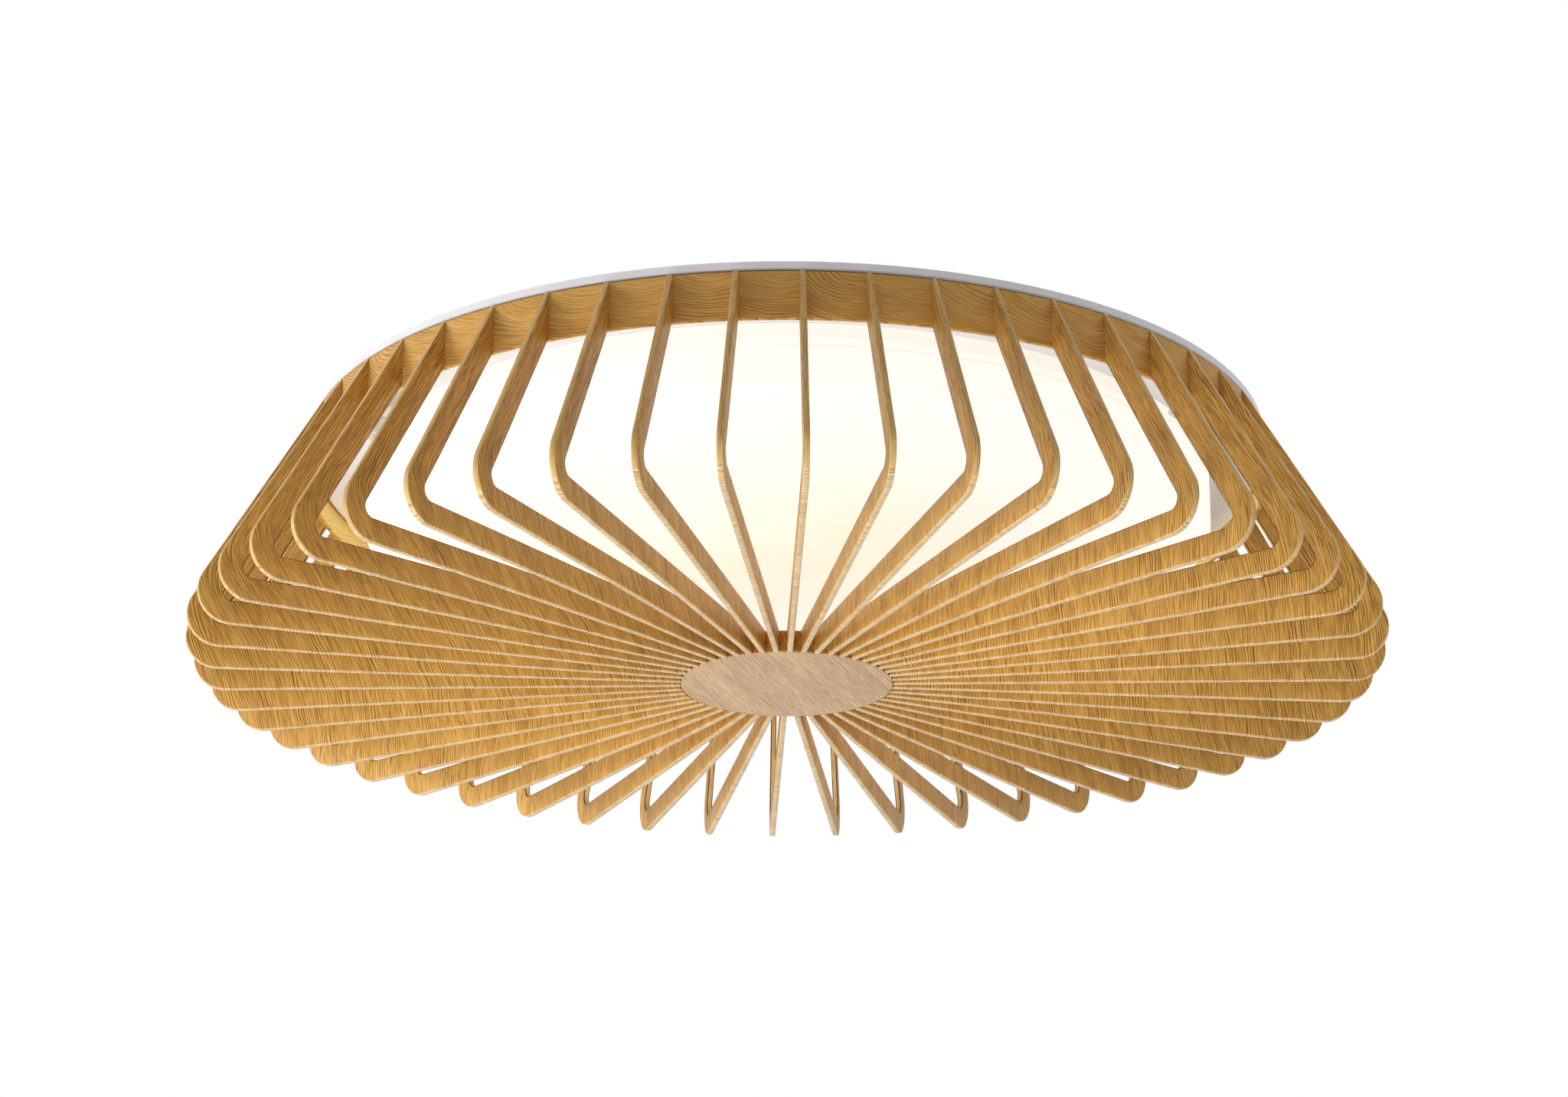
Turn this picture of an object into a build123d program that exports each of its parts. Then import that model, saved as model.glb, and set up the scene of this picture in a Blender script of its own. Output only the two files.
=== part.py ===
from build123d import *
import os
from math import asin, atan, cos, degrees, radians, sin, sqrt, tan

# Flush mount ceiling light: a round wooden cage of thin radial fins that hangs round an opal
# drum, under a white pressed pan. Millimetres, +Z up. The origin is the centre of the plane
# where the lamp meets the ceiling, and everything hangs below it.

os.makedirs("parts", exist_ok=True)

# Clearances
# Still curved faces round the travel of a moving piece
moving_gap = 0.3
# Radial clearance of a nut on its stud
running_gap = 0.05
# Radial clearance of a screw or stud in a hole of the same assembly
screw_gap = 0.15
# All round a glued tongue in its mortise
glue_gap = 0.1

# Wooden shade
fin_count = 50
fin_thickness = 3.0
# Azimuths are in degrees from -Y, turning towards +X
first_fin_azimuth = 1.64
band_outer_radius = 242.9
band_thickness = 3.0
band_height = 23.7
# How far beyond the band the two outer edges of a fin would meet if their corner was left sharp
fin_reach = 69.0
fin_drop = 120.9
lower_leg_width = 11.5
outer_corner_radius = 16.5
inner_corner_radius = 5.1
hub_radius = 53.4
hub_edge_chamfer = 0.6
tongue_length = 6.0
tongue_height = 7.5

# Pan, pressed from sheet steel, open towards the ceiling
# How far the rim stands back from the band's outer face
pan_rim_inset = 0.5
pan_rim_height = 4.0
pan_depth = 18.0
pan_sheet = 1.0
pan_skirt_clearance = 0.5
pan_floor_bend = 2.0
pan_rim_bend = 0.8
shadow_gap = 0.5

# Fixing of the shade: three studs under the pan, a wooden block round each, a nut below
hanger_count = 3
first_hanger_azimuth = 60.0
block_depth = 18.0
block_half_angle = 5.0
block_corner_radius = 3.0
stud_radius = 2.5
stud_head_radius = 4.2
stud_head_height = 0.9
stud_proud = 1.5
washer_radius = 6.0
washer_thickness = 1.0
nut_radius = 7.0
nut_height = 7.0
nut_flutes = 6
nut_flute_radius = 1.8

# Opal drum and the collar that it twists onto
# Between the hanger blocks and the drum
drum_gap = 7.5
diffuser_wall = 2.0
diffuser_bottom = 50.5
diffuser_edge_radius = 4.0
diffuser_top_gap = 0.6
collar_gap = 0.9
collar_wall = 1.2
collar_height = 11.5
collar_flange = 11.0
lug_count = 3
first_lug_azimuth = 30.0
lug_angle = 5.4
lug_height = 4.0
lug_drop = 4.7
lug_reach = 1.2
twist_angle = 12.0

# Ceiling strap and the two studs that carry the pan
strap_length = 190.0
strap_width = 28.0
strap_thickness = 2.0
strap_slot_spacing = 78.0
strap_slot_length = 24.0
strap_slot_width = 4.5
# From each end of the strap to the stud near it
strap_stud_margin = 15.0
strap_stud_radius = 2.0
strap_stud_head_radius = 3.8
cap_nut_flats = 7.0
cap_nut_height = 8.0
cap_nut_hex_height = 3.4
cap_washer_radius = 4.5
cap_washer_thickness = 0.8

# Light source ring
board_inner_radius = 106.0
# Between the board and the collar's flange
board_gap = 3.3
board_thickness = 1.2
chip_length = 3.5
chip_width = 2.8
chip_height = 0.8
chip_rings = 2
chip_ring_margin = 17.0
chips_on_first_ring = 24
chips_added_per_ring = 12

# Hexagon-head screws that hold the board, the collar, the driver, the terminals and the earth tag
hex_flats_per_diameter = 1.8
hex_height_per_diameter = 0.65
small_screw_radius = 1.5
small_screw_length = 5.0
board_screw_count = 4
# Turned off the chips' spokes, so that no screw head meets a chip
first_board_screw_azimuth = 15.0
collar_screw_count = 6

# Driver: a moulded tub on a base plate with an ear at each end
driver_length = 114.0
driver_width = 40.0
driver_height = 20.0
driver_wall = 1.6
driver_centre_y = -50.0
driver_corner_radius = 3.0
driver_ear = 9.0
driver_board_thickness = 1.6
driver_board_gap = 1.0

# Mains terminal block, earth screw and the grommet for the supply cable
terminal_x = 36.0
terminal_y = 50.0
terminal_poles = 3
terminal_pitch = 9.0
terminal_width = 18.0
terminal_height = 13.0
terminal_hole_radius = 2.0
terminal_tube_wall = 0.8
terminal_tube_recess = 1.5
terminal_screw_radius = 1.5
terminal_screw_length = 3.0
earth_x = -42.0
earth_y = 50.0
earth_screw_radius = 2.0
earth_tag_radius = 4.5
earth_tag_thickness = 0.8
cable_x = 0.0
cable_y = 50.0
grommet_bore_radius = 4.5
grommet_hole_radius = 7.0
grommet_flange_radius = 9.5
grommet_lip = 2.0

# Internal leads, and the connector where they reach the light board
lead_radius = 1.0
lead_insertion = 5.0
connector_length = 8.0
connector_width = 14.0
connector_overlap = 3.0
connector_floor = 1.6

# Places that follow from the sizes above. Heights below the ceiling are negative.
pan_floor = -pan_depth
pan_floor_top = pan_floor + pan_sheet
band_top = -(pan_rim_height + shadow_gap)
band_bottom = band_top - band_height
band_inner_radius = band_outer_radius - band_thickness
fin_tip_radius = band_outer_radius + fin_reach
shade_bottom = band_top - fin_drop
fin_lean = degrees(atan((fin_tip_radius - band_outer_radius) / fin_drop))
hub_top = shade_bottom + lower_leg_width
pan_rim_radius = band_outer_radius - pan_rim_inset
pan_skirt_radius = band_inner_radius - pan_skirt_clearance
hanger_radius = band_inner_radius - block_depth / 2
nut_top = band_bottom - washer_thickness
nut_bottom = nut_top - nut_height
diffuser_radius = band_inner_radius - block_depth - drum_gap
diffuser_inner_radius = diffuser_radius - diffuser_wall
collar_outer_radius = diffuser_inner_radius - collar_gap
collar_inner_radius = collar_outer_radius - collar_wall
collar_flange_radius = collar_inner_radius - collar_flange
collar_screw_circle = (collar_inner_radius + collar_flange_radius) / 2
lug_inner_radius = collar_inner_radius - lug_reach
lug_top = pan_floor - lug_drop
lug_bottom = lug_top - lug_height
strap_stud_spacing = strap_length - 2 * strap_stud_margin
board_outer_radius = collar_flange_radius - board_gap
board_bottom = pan_floor - board_thickness
board_screw_circle = (board_inner_radius + board_outer_radius) / 2
driver_plate_bottom = pan_floor - driver_wall
driver_bottom = pan_floor - driver_height
driver_screw_x = (driver_length + driver_ear) / 2
lead_centre = pan_floor - terminal_height / 2
terminal_length = terminal_poles * terminal_pitch
fin_azimuths = [first_fin_azimuth + 360 / fin_count * i for i in range(fin_count)]
hanger_azimuths = [first_hanger_azimuth + 360 / hanger_count * i for i in range(hanger_count)]
lug_azimuths = [first_lug_azimuth + 360 / lug_count * i for i in range(lug_count)]


def radial_plane(azimuth):
    """The upright half plane at an azimuth: local x runs outwards from the axis, local y is up."""
    angle = radians(azimuth)
    outwards = (sin(angle), -cos(angle), 0)
    across = (-cos(angle), -sin(angle), 0)
    return Plane(origin=(0, 0, 0), x_dir=outwards, z_dir=across)


def on_circle(radius, azimuth):
    """The point at a radius and an azimuth, as x and y."""
    angle = radians(azimuth)
    return radius * sin(angle), -radius * cos(angle)


def ring_points(radius, count, first_azimuth=0.0):
    """Evenly spaced points round the axis."""
    return [on_circle(radius, first_azimuth + 360 / count * i) for i in range(count)]


hanger_points = [on_circle(hanger_radius, azimuth) for azimuth in hanger_azimuths]
board_screw_points = ring_points(board_screw_circle, board_screw_count, first_board_screw_azimuth)
collar_screw_points = ring_points(collar_screw_circle, collar_screw_count)
strap_stud_points = [(-strap_stud_spacing / 2, 0), (strap_stud_spacing / 2, 0)]
driver_screw_points = [(-driver_screw_x, driver_centre_y), (driver_screw_x, driver_centre_y)]
terminal_screw_point = (terminal_x + terminal_pitch / 2, terminal_y)


# Shade: band
with BuildPart() as band:
    with BuildSketch(Plane.XY.offset(band_bottom)):
        Circle(band_outer_radius)
        Circle(band_inner_radius, mode=Mode.SUBTRACT)
    extrude(amount=band_height)
band.part.label = "band"
export_step(band.part, "parts/band.step")


# Shade: fins. One outline, radius across and height up, serves them all.
# The upper leg leaves the band over the band's whole height, so its width follows from that.
inner_corner_z = shade_bottom + lower_leg_width
inner_corner_x = band_outer_radius + (band_bottom - inner_corner_z) * tan(radians(fin_lean))
tongue_middle = (shade_bottom + hub_top) / 2
tongue_low = tongue_middle - tongue_height / 2
tongue_high = tongue_middle + tongue_height / 2

with BuildSketch() as fin_outline:
    with BuildLine():
        Polyline(
            (band_outer_radius, band_bottom),
            (band_outer_radius, band_top),
            (fin_tip_radius, shade_bottom),
            (hub_radius, shade_bottom),
            (hub_radius, tongue_low),
            (hub_radius - tongue_length, tongue_low),
            (hub_radius - tongue_length, tongue_high),
            (hub_radius, tongue_high),
            (hub_radius, inner_corner_z),
            (inner_corner_x, inner_corner_z),
            close=True,
        )
    make_face()
    outer_corner = fin_outline.vertices().sort_by(Axis.X)[-1]
    fillet(outer_corner, radius=outer_corner_radius)
    inner_corner = fin_outline.vertices().sort_by_distance((inner_corner_x, inner_corner_z))[0]
    fillet(inner_corner, radius=inner_corner_radius)

fin_pair_count = fin_count // 2
for index in range(fin_pair_count):
    azimuth = fin_azimuths[index]
    with BuildPart() as fin_pair:
        with BuildSketch(radial_plane(azimuth), radial_plane(azimuth + 180)):
            add(fin_outline.sketch)
        extrude(amount=fin_thickness / 2, both=True)
    name = f"fin_pair_{index + 1:02d}"
    fin_pair.part.label = name
    export_step(fin_pair.part, f"parts/{name}.step")


# Shade: hub disc, with a blind mortise in its rim for the tongue of every fin
with BuildPart() as hub_disc:
    with BuildSketch(Plane.XY.offset(shade_bottom)):
        Circle(hub_radius)
    extrude(amount=lower_leg_width)
    chamfer(hub_disc.edges().filter_by(GeomType.CIRCLE), length=hub_edge_chamfer)
    mortise_length = tongue_length + glue_gap
    with BuildSketch(*[radial_plane(azimuth) for azimuth in fin_azimuths]):
        with Locations((hub_radius - mortise_length / 2, tongue_middle)):
            Rectangle(mortise_length, tongue_height + 2 * glue_gap)
    extrude(amount=fin_thickness / 2 + glue_gap, both=True, mode=Mode.SUBTRACT)
hub_disc.part.label = "hub_disc"
export_step(hub_disc.part, "parts/hub_disc.step")


# Shade: hanger blocks, glued inside the band and bored for the studs
with BuildPart() as hanger_blocks:
    for azimuth in hanger_azimuths:
        with BuildSketch(radial_plane(azimuth - block_half_angle)):
            with Locations((hanger_radius, (pan_floor + band_bottom) / 2)):
                Rectangle(block_depth, pan_floor - band_bottom)
        revolve(axis=Axis.Z, revolution_arc=2 * block_half_angle)
    upright_edges = hanger_blocks.edges().filter_by(Axis.Z)
    inner_edges = [e for e in upright_edges if e.center().X ** 2 + e.center().Y ** 2 < hanger_radius ** 2]
    fillet(inner_edges, radius=block_corner_radius)
    with BuildSketch(Plane.XY.offset(pan_floor)):
        with Locations(*hanger_points):
            Circle(stud_radius + moving_gap)
    extrude(amount=band_bottom - pan_floor, mode=Mode.SUBTRACT)
hanger_blocks.part.label = "hanger_blocks"
export_step(hanger_blocks.part, "parts/hanger_blocks.step")


# Shade: washers under the blocks
with BuildPart() as nut_washers:
    with BuildSketch(Plane.XY.offset(nut_top)):
        with Locations(*hanger_points):
            Circle(washer_radius)
            Circle(stud_radius + moving_gap, mode=Mode.SUBTRACT)
    extrude(amount=washer_thickness)
nut_washers.part.label = "nut_washers"
export_step(nut_washers.part, "parts/nut_washers.step")


# Thumb nuts: fluted knobs
for index, (x, y) in enumerate(hanger_points):
    with BuildPart() as thumb_nut:
        with BuildSketch(Plane.XY.offset(nut_bottom)):
            with Locations((x, y)):
                Circle(nut_radius)
                Circle(stud_radius + running_gap, mode=Mode.SUBTRACT)
                with PolarLocations(nut_radius, nut_flutes):
                    Circle(nut_flute_radius, mode=Mode.SUBTRACT)
        extrude(amount=nut_height)
    name = f"thumb_nut_{index + 1}"
    thumb_nut.part.label = name
    export_step(thumb_nut.part, f"parts/{name}.step")


# Pan: one pressing, turned from its section, then pierced
with BuildPart() as ceiling_pan:
    with BuildSketch(Plane.XZ) as pan_section:
        skirt_inside = pan_skirt_radius - pan_sheet
        rim_inside = pan_rim_radius - pan_sheet
        flange_top = pan_sheet - pan_rim_height
        with BuildLine():
            Polyline(
                (0, pan_floor),
                (pan_skirt_radius, pan_floor),
                (pan_skirt_radius, -pan_rim_height),
                (pan_rim_radius, -pan_rim_height),
                (pan_rim_radius, 0),
                (rim_inside, 0),
                (rim_inside, flange_top),
                (skirt_inside, flange_top),
                (skirt_inside, pan_floor_top),
                (0, pan_floor_top),
                close=True,
            )
        make_face()
        rim_corner = pan_section.vertices().sort_by_distance((pan_rim_radius, -pan_rim_height))[0]
        chamfer(rim_corner, length=pan_rim_bend)
        # The inner bend comes first, and is cut back less: the sheet stays whole and keeps its thickness
        floor_corner = pan_section.vertices().sort_by_distance((skirt_inside, pan_floor_top))[0]
        chamfer(floor_corner, length=pan_floor_bend - (2 - sqrt(2)) * pan_sheet)
        floor_corner = pan_section.vertices().sort_by_distance((pan_skirt_radius, pan_floor))[0]
        chamfer(floor_corner, length=pan_floor_bend)
    revolve(axis=Axis.Z)
    with BuildSketch(Plane.XY.offset(pan_floor)):
        with Locations(*hanger_points):
            Circle(stud_radius + screw_gap)
        with Locations(*strap_stud_points):
            Circle(strap_stud_radius + 2 * screw_gap)
        with Locations(*board_screw_points, *collar_screw_points, *driver_screw_points):
            Circle(small_screw_radius + screw_gap)
        with Locations(terminal_screw_point):
            Circle(small_screw_radius + screw_gap)
        with Locations((earth_x, earth_y)):
            Circle(earth_screw_radius + screw_gap)
        with Locations((cable_x, cable_y)):
            Circle(grommet_hole_radius)
    extrude(amount=pan_sheet, mode=Mode.SUBTRACT)
ceiling_pan.part.label = "ceiling_pan"
export_step(ceiling_pan.part, "parts/ceiling_pan.step")


# Studs pressed into the pan from above
with BuildPart() as shade_studs:
    stud_end = nut_bottom - stud_proud
    with BuildSketch(Plane.XY.offset(pan_floor_top)):
        with Locations(*hanger_points):
            Circle(stud_head_radius)
    extrude(amount=stud_head_height)
    with BuildSketch(Plane.XY.offset(pan_floor_top)):
        with Locations(*hanger_points):
            Circle(stud_radius)
    extrude(amount=stud_end - pan_floor_top)
shade_studs.part.label = "shade_studs"
export_step(shade_studs.part, "parts/shade_studs.step")


# Opal drum with three lugs inside its rim
diffuser_top = pan_floor - diffuser_top_gap
with BuildPart() as diffuser:
    with BuildSketch(Plane.XZ) as drum_section:
        drum_floor = -diffuser_bottom + diffuser_wall
        with BuildLine():
            Polyline(
                (0, -diffuser_bottom),
                (diffuser_radius, -diffuser_bottom),
                (diffuser_radius, diffuser_top),
                (diffuser_inner_radius, diffuser_top),
                (diffuser_inner_radius, drum_floor),
                (0, drum_floor),
                close=True,
            )
        make_face()
        outside = drum_section.vertices().sort_by_distance((diffuser_radius, -diffuser_bottom))[0]
        fillet(outside, radius=diffuser_edge_radius)
        inside = drum_section.vertices().sort_by_distance((diffuser_inner_radius, drum_floor))[0]
        chamfer(inside, length=diffuser_edge_radius - diffuser_wall)
    revolve(axis=Axis.Z)
    lug_root = diffuser_radius - diffuser_wall / 2
    for azimuth in lug_azimuths:
        with BuildSketch(radial_plane(azimuth - lug_angle / 2)):
            with Locations(((lug_inner_radius + lug_root) / 2, (lug_top + lug_bottom) / 2)):
                Rectangle(lug_root - lug_inner_radius, lug_height)
        revolve(axis=Axis.Z, revolution_arc=lug_angle)
diffuser.part.label = "diffuser"
export_step(diffuser.part, "parts/diffuser.step")


# Collar: an angle ring whose wall has an L-shaped slot for each lug.
# A lug waits at the closed end, and turns back by the twist angle to the slot's open mouth.
slot_gap_angle = degrees(asin(moving_gap / collar_inner_radius))
mouth_arc = lug_angle + 2 * slot_gap_angle
channel_arc = mouth_arc + twist_angle
channel_top = lug_top + moving_gap
channel_bottom = lug_bottom - moving_gap
with BuildPart() as diffuser_collar:
    collar_bottom = pan_floor - collar_height
    with BuildSketch(Plane.XZ):
        with BuildLine():
            Polyline(
                (collar_flange_radius, pan_floor),
                (collar_outer_radius, pan_floor),
                (collar_outer_radius, collar_bottom),
                (collar_inner_radius, collar_bottom),
                (collar_inner_radius, pan_floor - collar_wall),
                (collar_flange_radius, pan_floor - collar_wall),
                close=True,
            )
        make_face()
    revolve(axis=Axis.Z)
    with BuildSketch(Plane.XY.offset(pan_floor)):
        with Locations(*collar_screw_points):
            Circle(small_screw_radius + screw_gap)
    extrude(amount=-collar_wall, mode=Mode.SUBTRACT)
    cut_depth = 2 * collar_wall
    cut_radius = (collar_inner_radius + collar_outer_radius) / 2
    for azimuth in lug_azimuths:
        slot_start = azimuth - twist_angle - mouth_arc / 2
        with BuildSketch(radial_plane(slot_start)):
            with Locations((cut_radius, (channel_top + channel_bottom) / 2)):
                Rectangle(cut_depth, channel_top - channel_bottom)
        revolve(axis=Axis.Z, revolution_arc=channel_arc, mode=Mode.SUBTRACT)
        with BuildSketch(radial_plane(slot_start)):
            with Locations((cut_radius, (channel_top + collar_bottom) / 2)):
                Rectangle(cut_depth, channel_top - collar_bottom)
        revolve(axis=Axis.Z, revolution_arc=mouth_arc, mode=Mode.SUBTRACT)
diffuser_collar.part.label = "diffuser_collar"
export_step(diffuser_collar.part, "parts/diffuser_collar.step")


# Ceiling strap: a flat bar with two slots for the ceiling screws and two countersunk studs
with BuildPart() as mounting_strap:
    with BuildSketch(Plane.XY.offset(-strap_thickness)):
        RectangleRounded(strap_length, strap_width, strap_width / 4)
        with Locations((-strap_slot_spacing / 2, 0), (strap_slot_spacing / 2, 0)):
            SlotOverall(strap_slot_length, strap_slot_width, mode=Mode.SUBTRACT)
    extrude(amount=strap_thickness)
    with Locations(*[(x, y, 0) for x, y in strap_stud_points]):
        CounterSinkHole(
            radius=strap_stud_radius + screw_gap,
            counter_sink_radius=strap_stud_head_radius + screw_gap,
            depth=strap_thickness,
            counter_sink_angle=90,
        )
mounting_strap.part.label = "mounting_strap"
export_step(mounting_strap.part, "parts/mounting_strap.step")


# Countersunk studs of the strap, down through the pan to the cap nuts
cap_nut_top = pan_floor - cap_washer_thickness
strap_stud_end = cap_nut_top - cap_nut_hex_height
with BuildPart() as strap_studs:
    head_depth = strap_stud_head_radius - strap_stud_radius
    below = (Align.CENTER, Align.CENTER, Align.MAX)
    with Locations(*[(x, y, 0) for x, y in strap_stud_points]):
        Cone(strap_stud_radius, strap_stud_head_radius, head_depth, align=below)
    with Locations(*[(x, y, -head_depth) for x, y in strap_stud_points]):
        Cylinder(strap_stud_radius, -head_depth - strap_stud_end, align=below)
strap_studs.part.label = "strap_studs"
export_step(strap_studs.part, "parts/strap_studs.step")


# Washers and cap nuts that hold the pan up
with BuildPart() as cap_washers:
    with BuildSketch(Plane.XY.offset(pan_floor)):
        with Locations(*strap_stud_points):
            Circle(cap_washer_radius)
            Circle(strap_stud_radius + screw_gap, mode=Mode.SUBTRACT)
    extrude(amount=-cap_washer_thickness)
cap_washers.part.label = "cap_washers"
export_step(cap_washers.part, "parts/cap_washers.step")

with BuildPart() as cap_nuts:
    dome_radius = cap_nut_flats / 2
    with BuildSketch(Plane.XY.offset(cap_nut_top)):
        with Locations(*strap_stud_points):
            RegularPolygon(radius=dome_radius, side_count=6, major_radius=False)
    extrude(amount=-cap_nut_hex_height)
    with BuildSketch(Plane.XY.offset(cap_nut_top - cap_nut_hex_height)):
        with Locations(*strap_stud_points):
            Circle(dome_radius)
    extrude(amount=-(cap_nut_height - cap_nut_hex_height))
    chamfer(cap_nuts.edges().group_by(Axis.Z)[0], length=dome_radius / 2)
    with BuildSketch(Plane.XY.offset(cap_nut_top)):
        with Locations(*strap_stud_points):
            Circle(strap_stud_radius + running_gap)
    extrude(amount=-(cap_nut_hex_height + running_gap), mode=Mode.SUBTRACT)
cap_nuts.part.label = "cap_nuts"
export_step(cap_nuts.part, "parts/cap_nuts.step")


# Light source: a ring board with its chips on the room side
with BuildPart() as light_board:
    with BuildSketch(Plane.XY.offset(pan_floor)):
        Circle(board_outer_radius)
        Circle(board_inner_radius, mode=Mode.SUBTRACT)
        with Locations(*board_screw_points):
            Circle(small_screw_radius + screw_gap, mode=Mode.SUBTRACT)
    extrude(amount=-board_thickness)
light_board.part.label = "light_board"
export_step(light_board.part, "parts/light_board.step")

with BuildPart() as light_chips:
    ring_step = (board_outer_radius - board_inner_radius - 2 * chip_ring_margin) / (chip_rings - 1)
    with BuildSketch(Plane.XY.offset(board_bottom)):
        for ring in range(chip_rings):
            ring_radius = board_inner_radius + chip_ring_margin + ring * ring_step
            with PolarLocations(ring_radius, chips_on_first_ring + ring * chips_added_per_ring):
                Rectangle(chip_width, chip_length)
    extrude(amount=-chip_height)
light_chips.part.label = "light_chips"
export_step(light_chips.part, "parts/light_chips.step")


# Driver: base plate with ears, and the tub below it with posts that hold its circuit board
driver_points = [(0, driver_centre_y)]
driver_board_bottom = driver_plate_bottom - driver_board_gap - driver_board_thickness
driver_tub_floor = driver_bottom + driver_wall
with BuildPart() as driver_plate:
    with BuildSketch(Plane.XY.offset(pan_floor)):
        with Locations(*driver_points):
            RectangleRounded(driver_length, driver_width, driver_corner_radius)
            RectangleRounded(driver_length + 2 * driver_ear, driver_ear, driver_corner_radius)
        with Locations(*driver_screw_points):
            Circle(small_screw_radius + screw_gap, mode=Mode.SUBTRACT)
    extrude(amount=-driver_wall)
driver_plate.part.label = "driver_plate"
export_step(driver_plate.part, "parts/driver_plate.step")

# The mains leads enter the driver's rear side, in line with the last two poles of the terminals.
# The leads to the light board leave its front side, in line with the board's connector.
pole_xs = [terminal_x + terminal_pitch * (i - (terminal_poles - 1) / 2) for i in range(terminal_poles)]
input_lead_xs = pole_xs[1:]
output_lead_xs = [-x for x in input_lead_xs]
driver_rear = driver_centre_y + driver_width / 2
driver_front = driver_centre_y - driver_width / 2
lead_hole_radius = lead_radius + screw_gap
with BuildPart() as driver_tub:
    with BuildSketch(Plane.XY.offset(driver_plate_bottom)):
        with Locations(*driver_points):
            RectangleRounded(driver_length, driver_width, driver_corner_radius)
    extrude(amount=driver_bottom - driver_plate_bottom)
    chamfer(driver_tub.edges().group_by(Axis.Z)[0], length=driver_wall / 2)
    with BuildSketch(Plane.XY.offset(driver_plate_bottom)):
        with Locations(*driver_points):
            RectangleRounded(
                driver_length - 2 * driver_wall,
                driver_width - 2 * driver_wall,
                driver_corner_radius - driver_wall,
            )
    extrude(amount=driver_tub_floor - driver_plate_bottom, mode=Mode.SUBTRACT)
    post_size = 2 * driver_corner_radius
    post_pitch_x = driver_length - 2 * driver_wall - post_size
    post_pitch_y = driver_width - 2 * driver_wall - post_size
    with BuildSketch(Plane.XY.offset(driver_tub_floor)):
        with Locations(*driver_points):
            with GridLocations(post_pitch_x, post_pitch_y, 2, 2):
                Rectangle(post_size, post_size)
    extrude(amount=driver_board_bottom - driver_tub_floor)
    for side, lead_xs in ((driver_rear, input_lead_xs), (driver_front, output_lead_xs)):
        with BuildSketch(Plane.XZ.offset(-side)):
            with Locations(*[(x, lead_centre) for x in lead_xs]):
                Circle(lead_hole_radius)
        extrude(amount=2 * driver_wall, both=True, mode=Mode.SUBTRACT)
driver_tub.part.label = "driver_tub"
export_step(driver_tub.part, "parts/driver_tub.step")

with BuildPart() as driver_board:
    walls = 2 * (driver_wall + moving_gap)
    board_corner_radius = driver_corner_radius - driver_wall
    with BuildSketch(Plane.XY.offset(driver_board_bottom)):
        with Locations(*driver_points):
            RectangleRounded(driver_length - walls, driver_width - walls, board_corner_radius)
    extrude(amount=driver_board_thickness)
driver_board.part.label = "driver_board"
export_step(driver_board.part, "parts/driver_board.step")

# What stands on the driver's board: transformer, film capacitor, choke and two round capacitors
transformer_size = (22.0, 18.0, 12.0)
transformer_x = 6.0
film_capacitor_size = (13.0, 6.0, 9.0)
choke_radius = 6.0
choke_height = 8.0
round_capacitor_radius = 5.0
round_capacitor_height = 12.0
with BuildPart() as driver_components:
    hanging = (Align.CENTER, Align.CENTER, Align.MAX)
    with Locations((transformer_x, driver_centre_y, driver_board_bottom)):
        Box(*transformer_size, align=hanging)
    with Locations((driver_length / 3, driver_centre_y - driver_width / 6, driver_board_bottom)):
        Box(*film_capacitor_size, align=hanging)
    with Locations((driver_length / 5, driver_centre_y, driver_board_bottom)):
        Cylinder(choke_radius, choke_height, align=hanging)
    with Locations(
        (-driver_length / 8, driver_centre_y, driver_board_bottom),
        (-driver_length / 4, driver_centre_y - driver_width / 8, driver_board_bottom),
    ):
        Cylinder(round_capacitor_radius, round_capacitor_height, align=hanging)
driver_components.part.label = "driver_components"
export_step(driver_components.part, "parts/driver_components.step")


def hex_head_screws(name, points, seat, length=small_screw_length, radius=small_screw_radius):
    """Screws driven upwards, with their heads seated on the height called seat."""
    with BuildPart() as screws:
        with BuildSketch(Plane.XY.offset(seat)):
            with Locations(*points):
                RegularPolygon(radius=hex_flats_per_diameter * radius, side_count=6, major_radius=False)
        extrude(amount=-hex_height_per_diameter * 2 * radius)
        with BuildSketch(Plane.XY.offset(seat)):
            with Locations(*points):
                Circle(radius)
        extrude(amount=length)
    screws.part.label = name
    export_step(screws.part, f"parts/{name}.step")


hex_head_screws("board_screws", board_screw_points, board_bottom)
hex_head_screws("collar_screws", collar_screw_points, pan_floor - collar_wall)
hex_head_screws("driver_screws", driver_screw_points, driver_plate_bottom)


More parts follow.
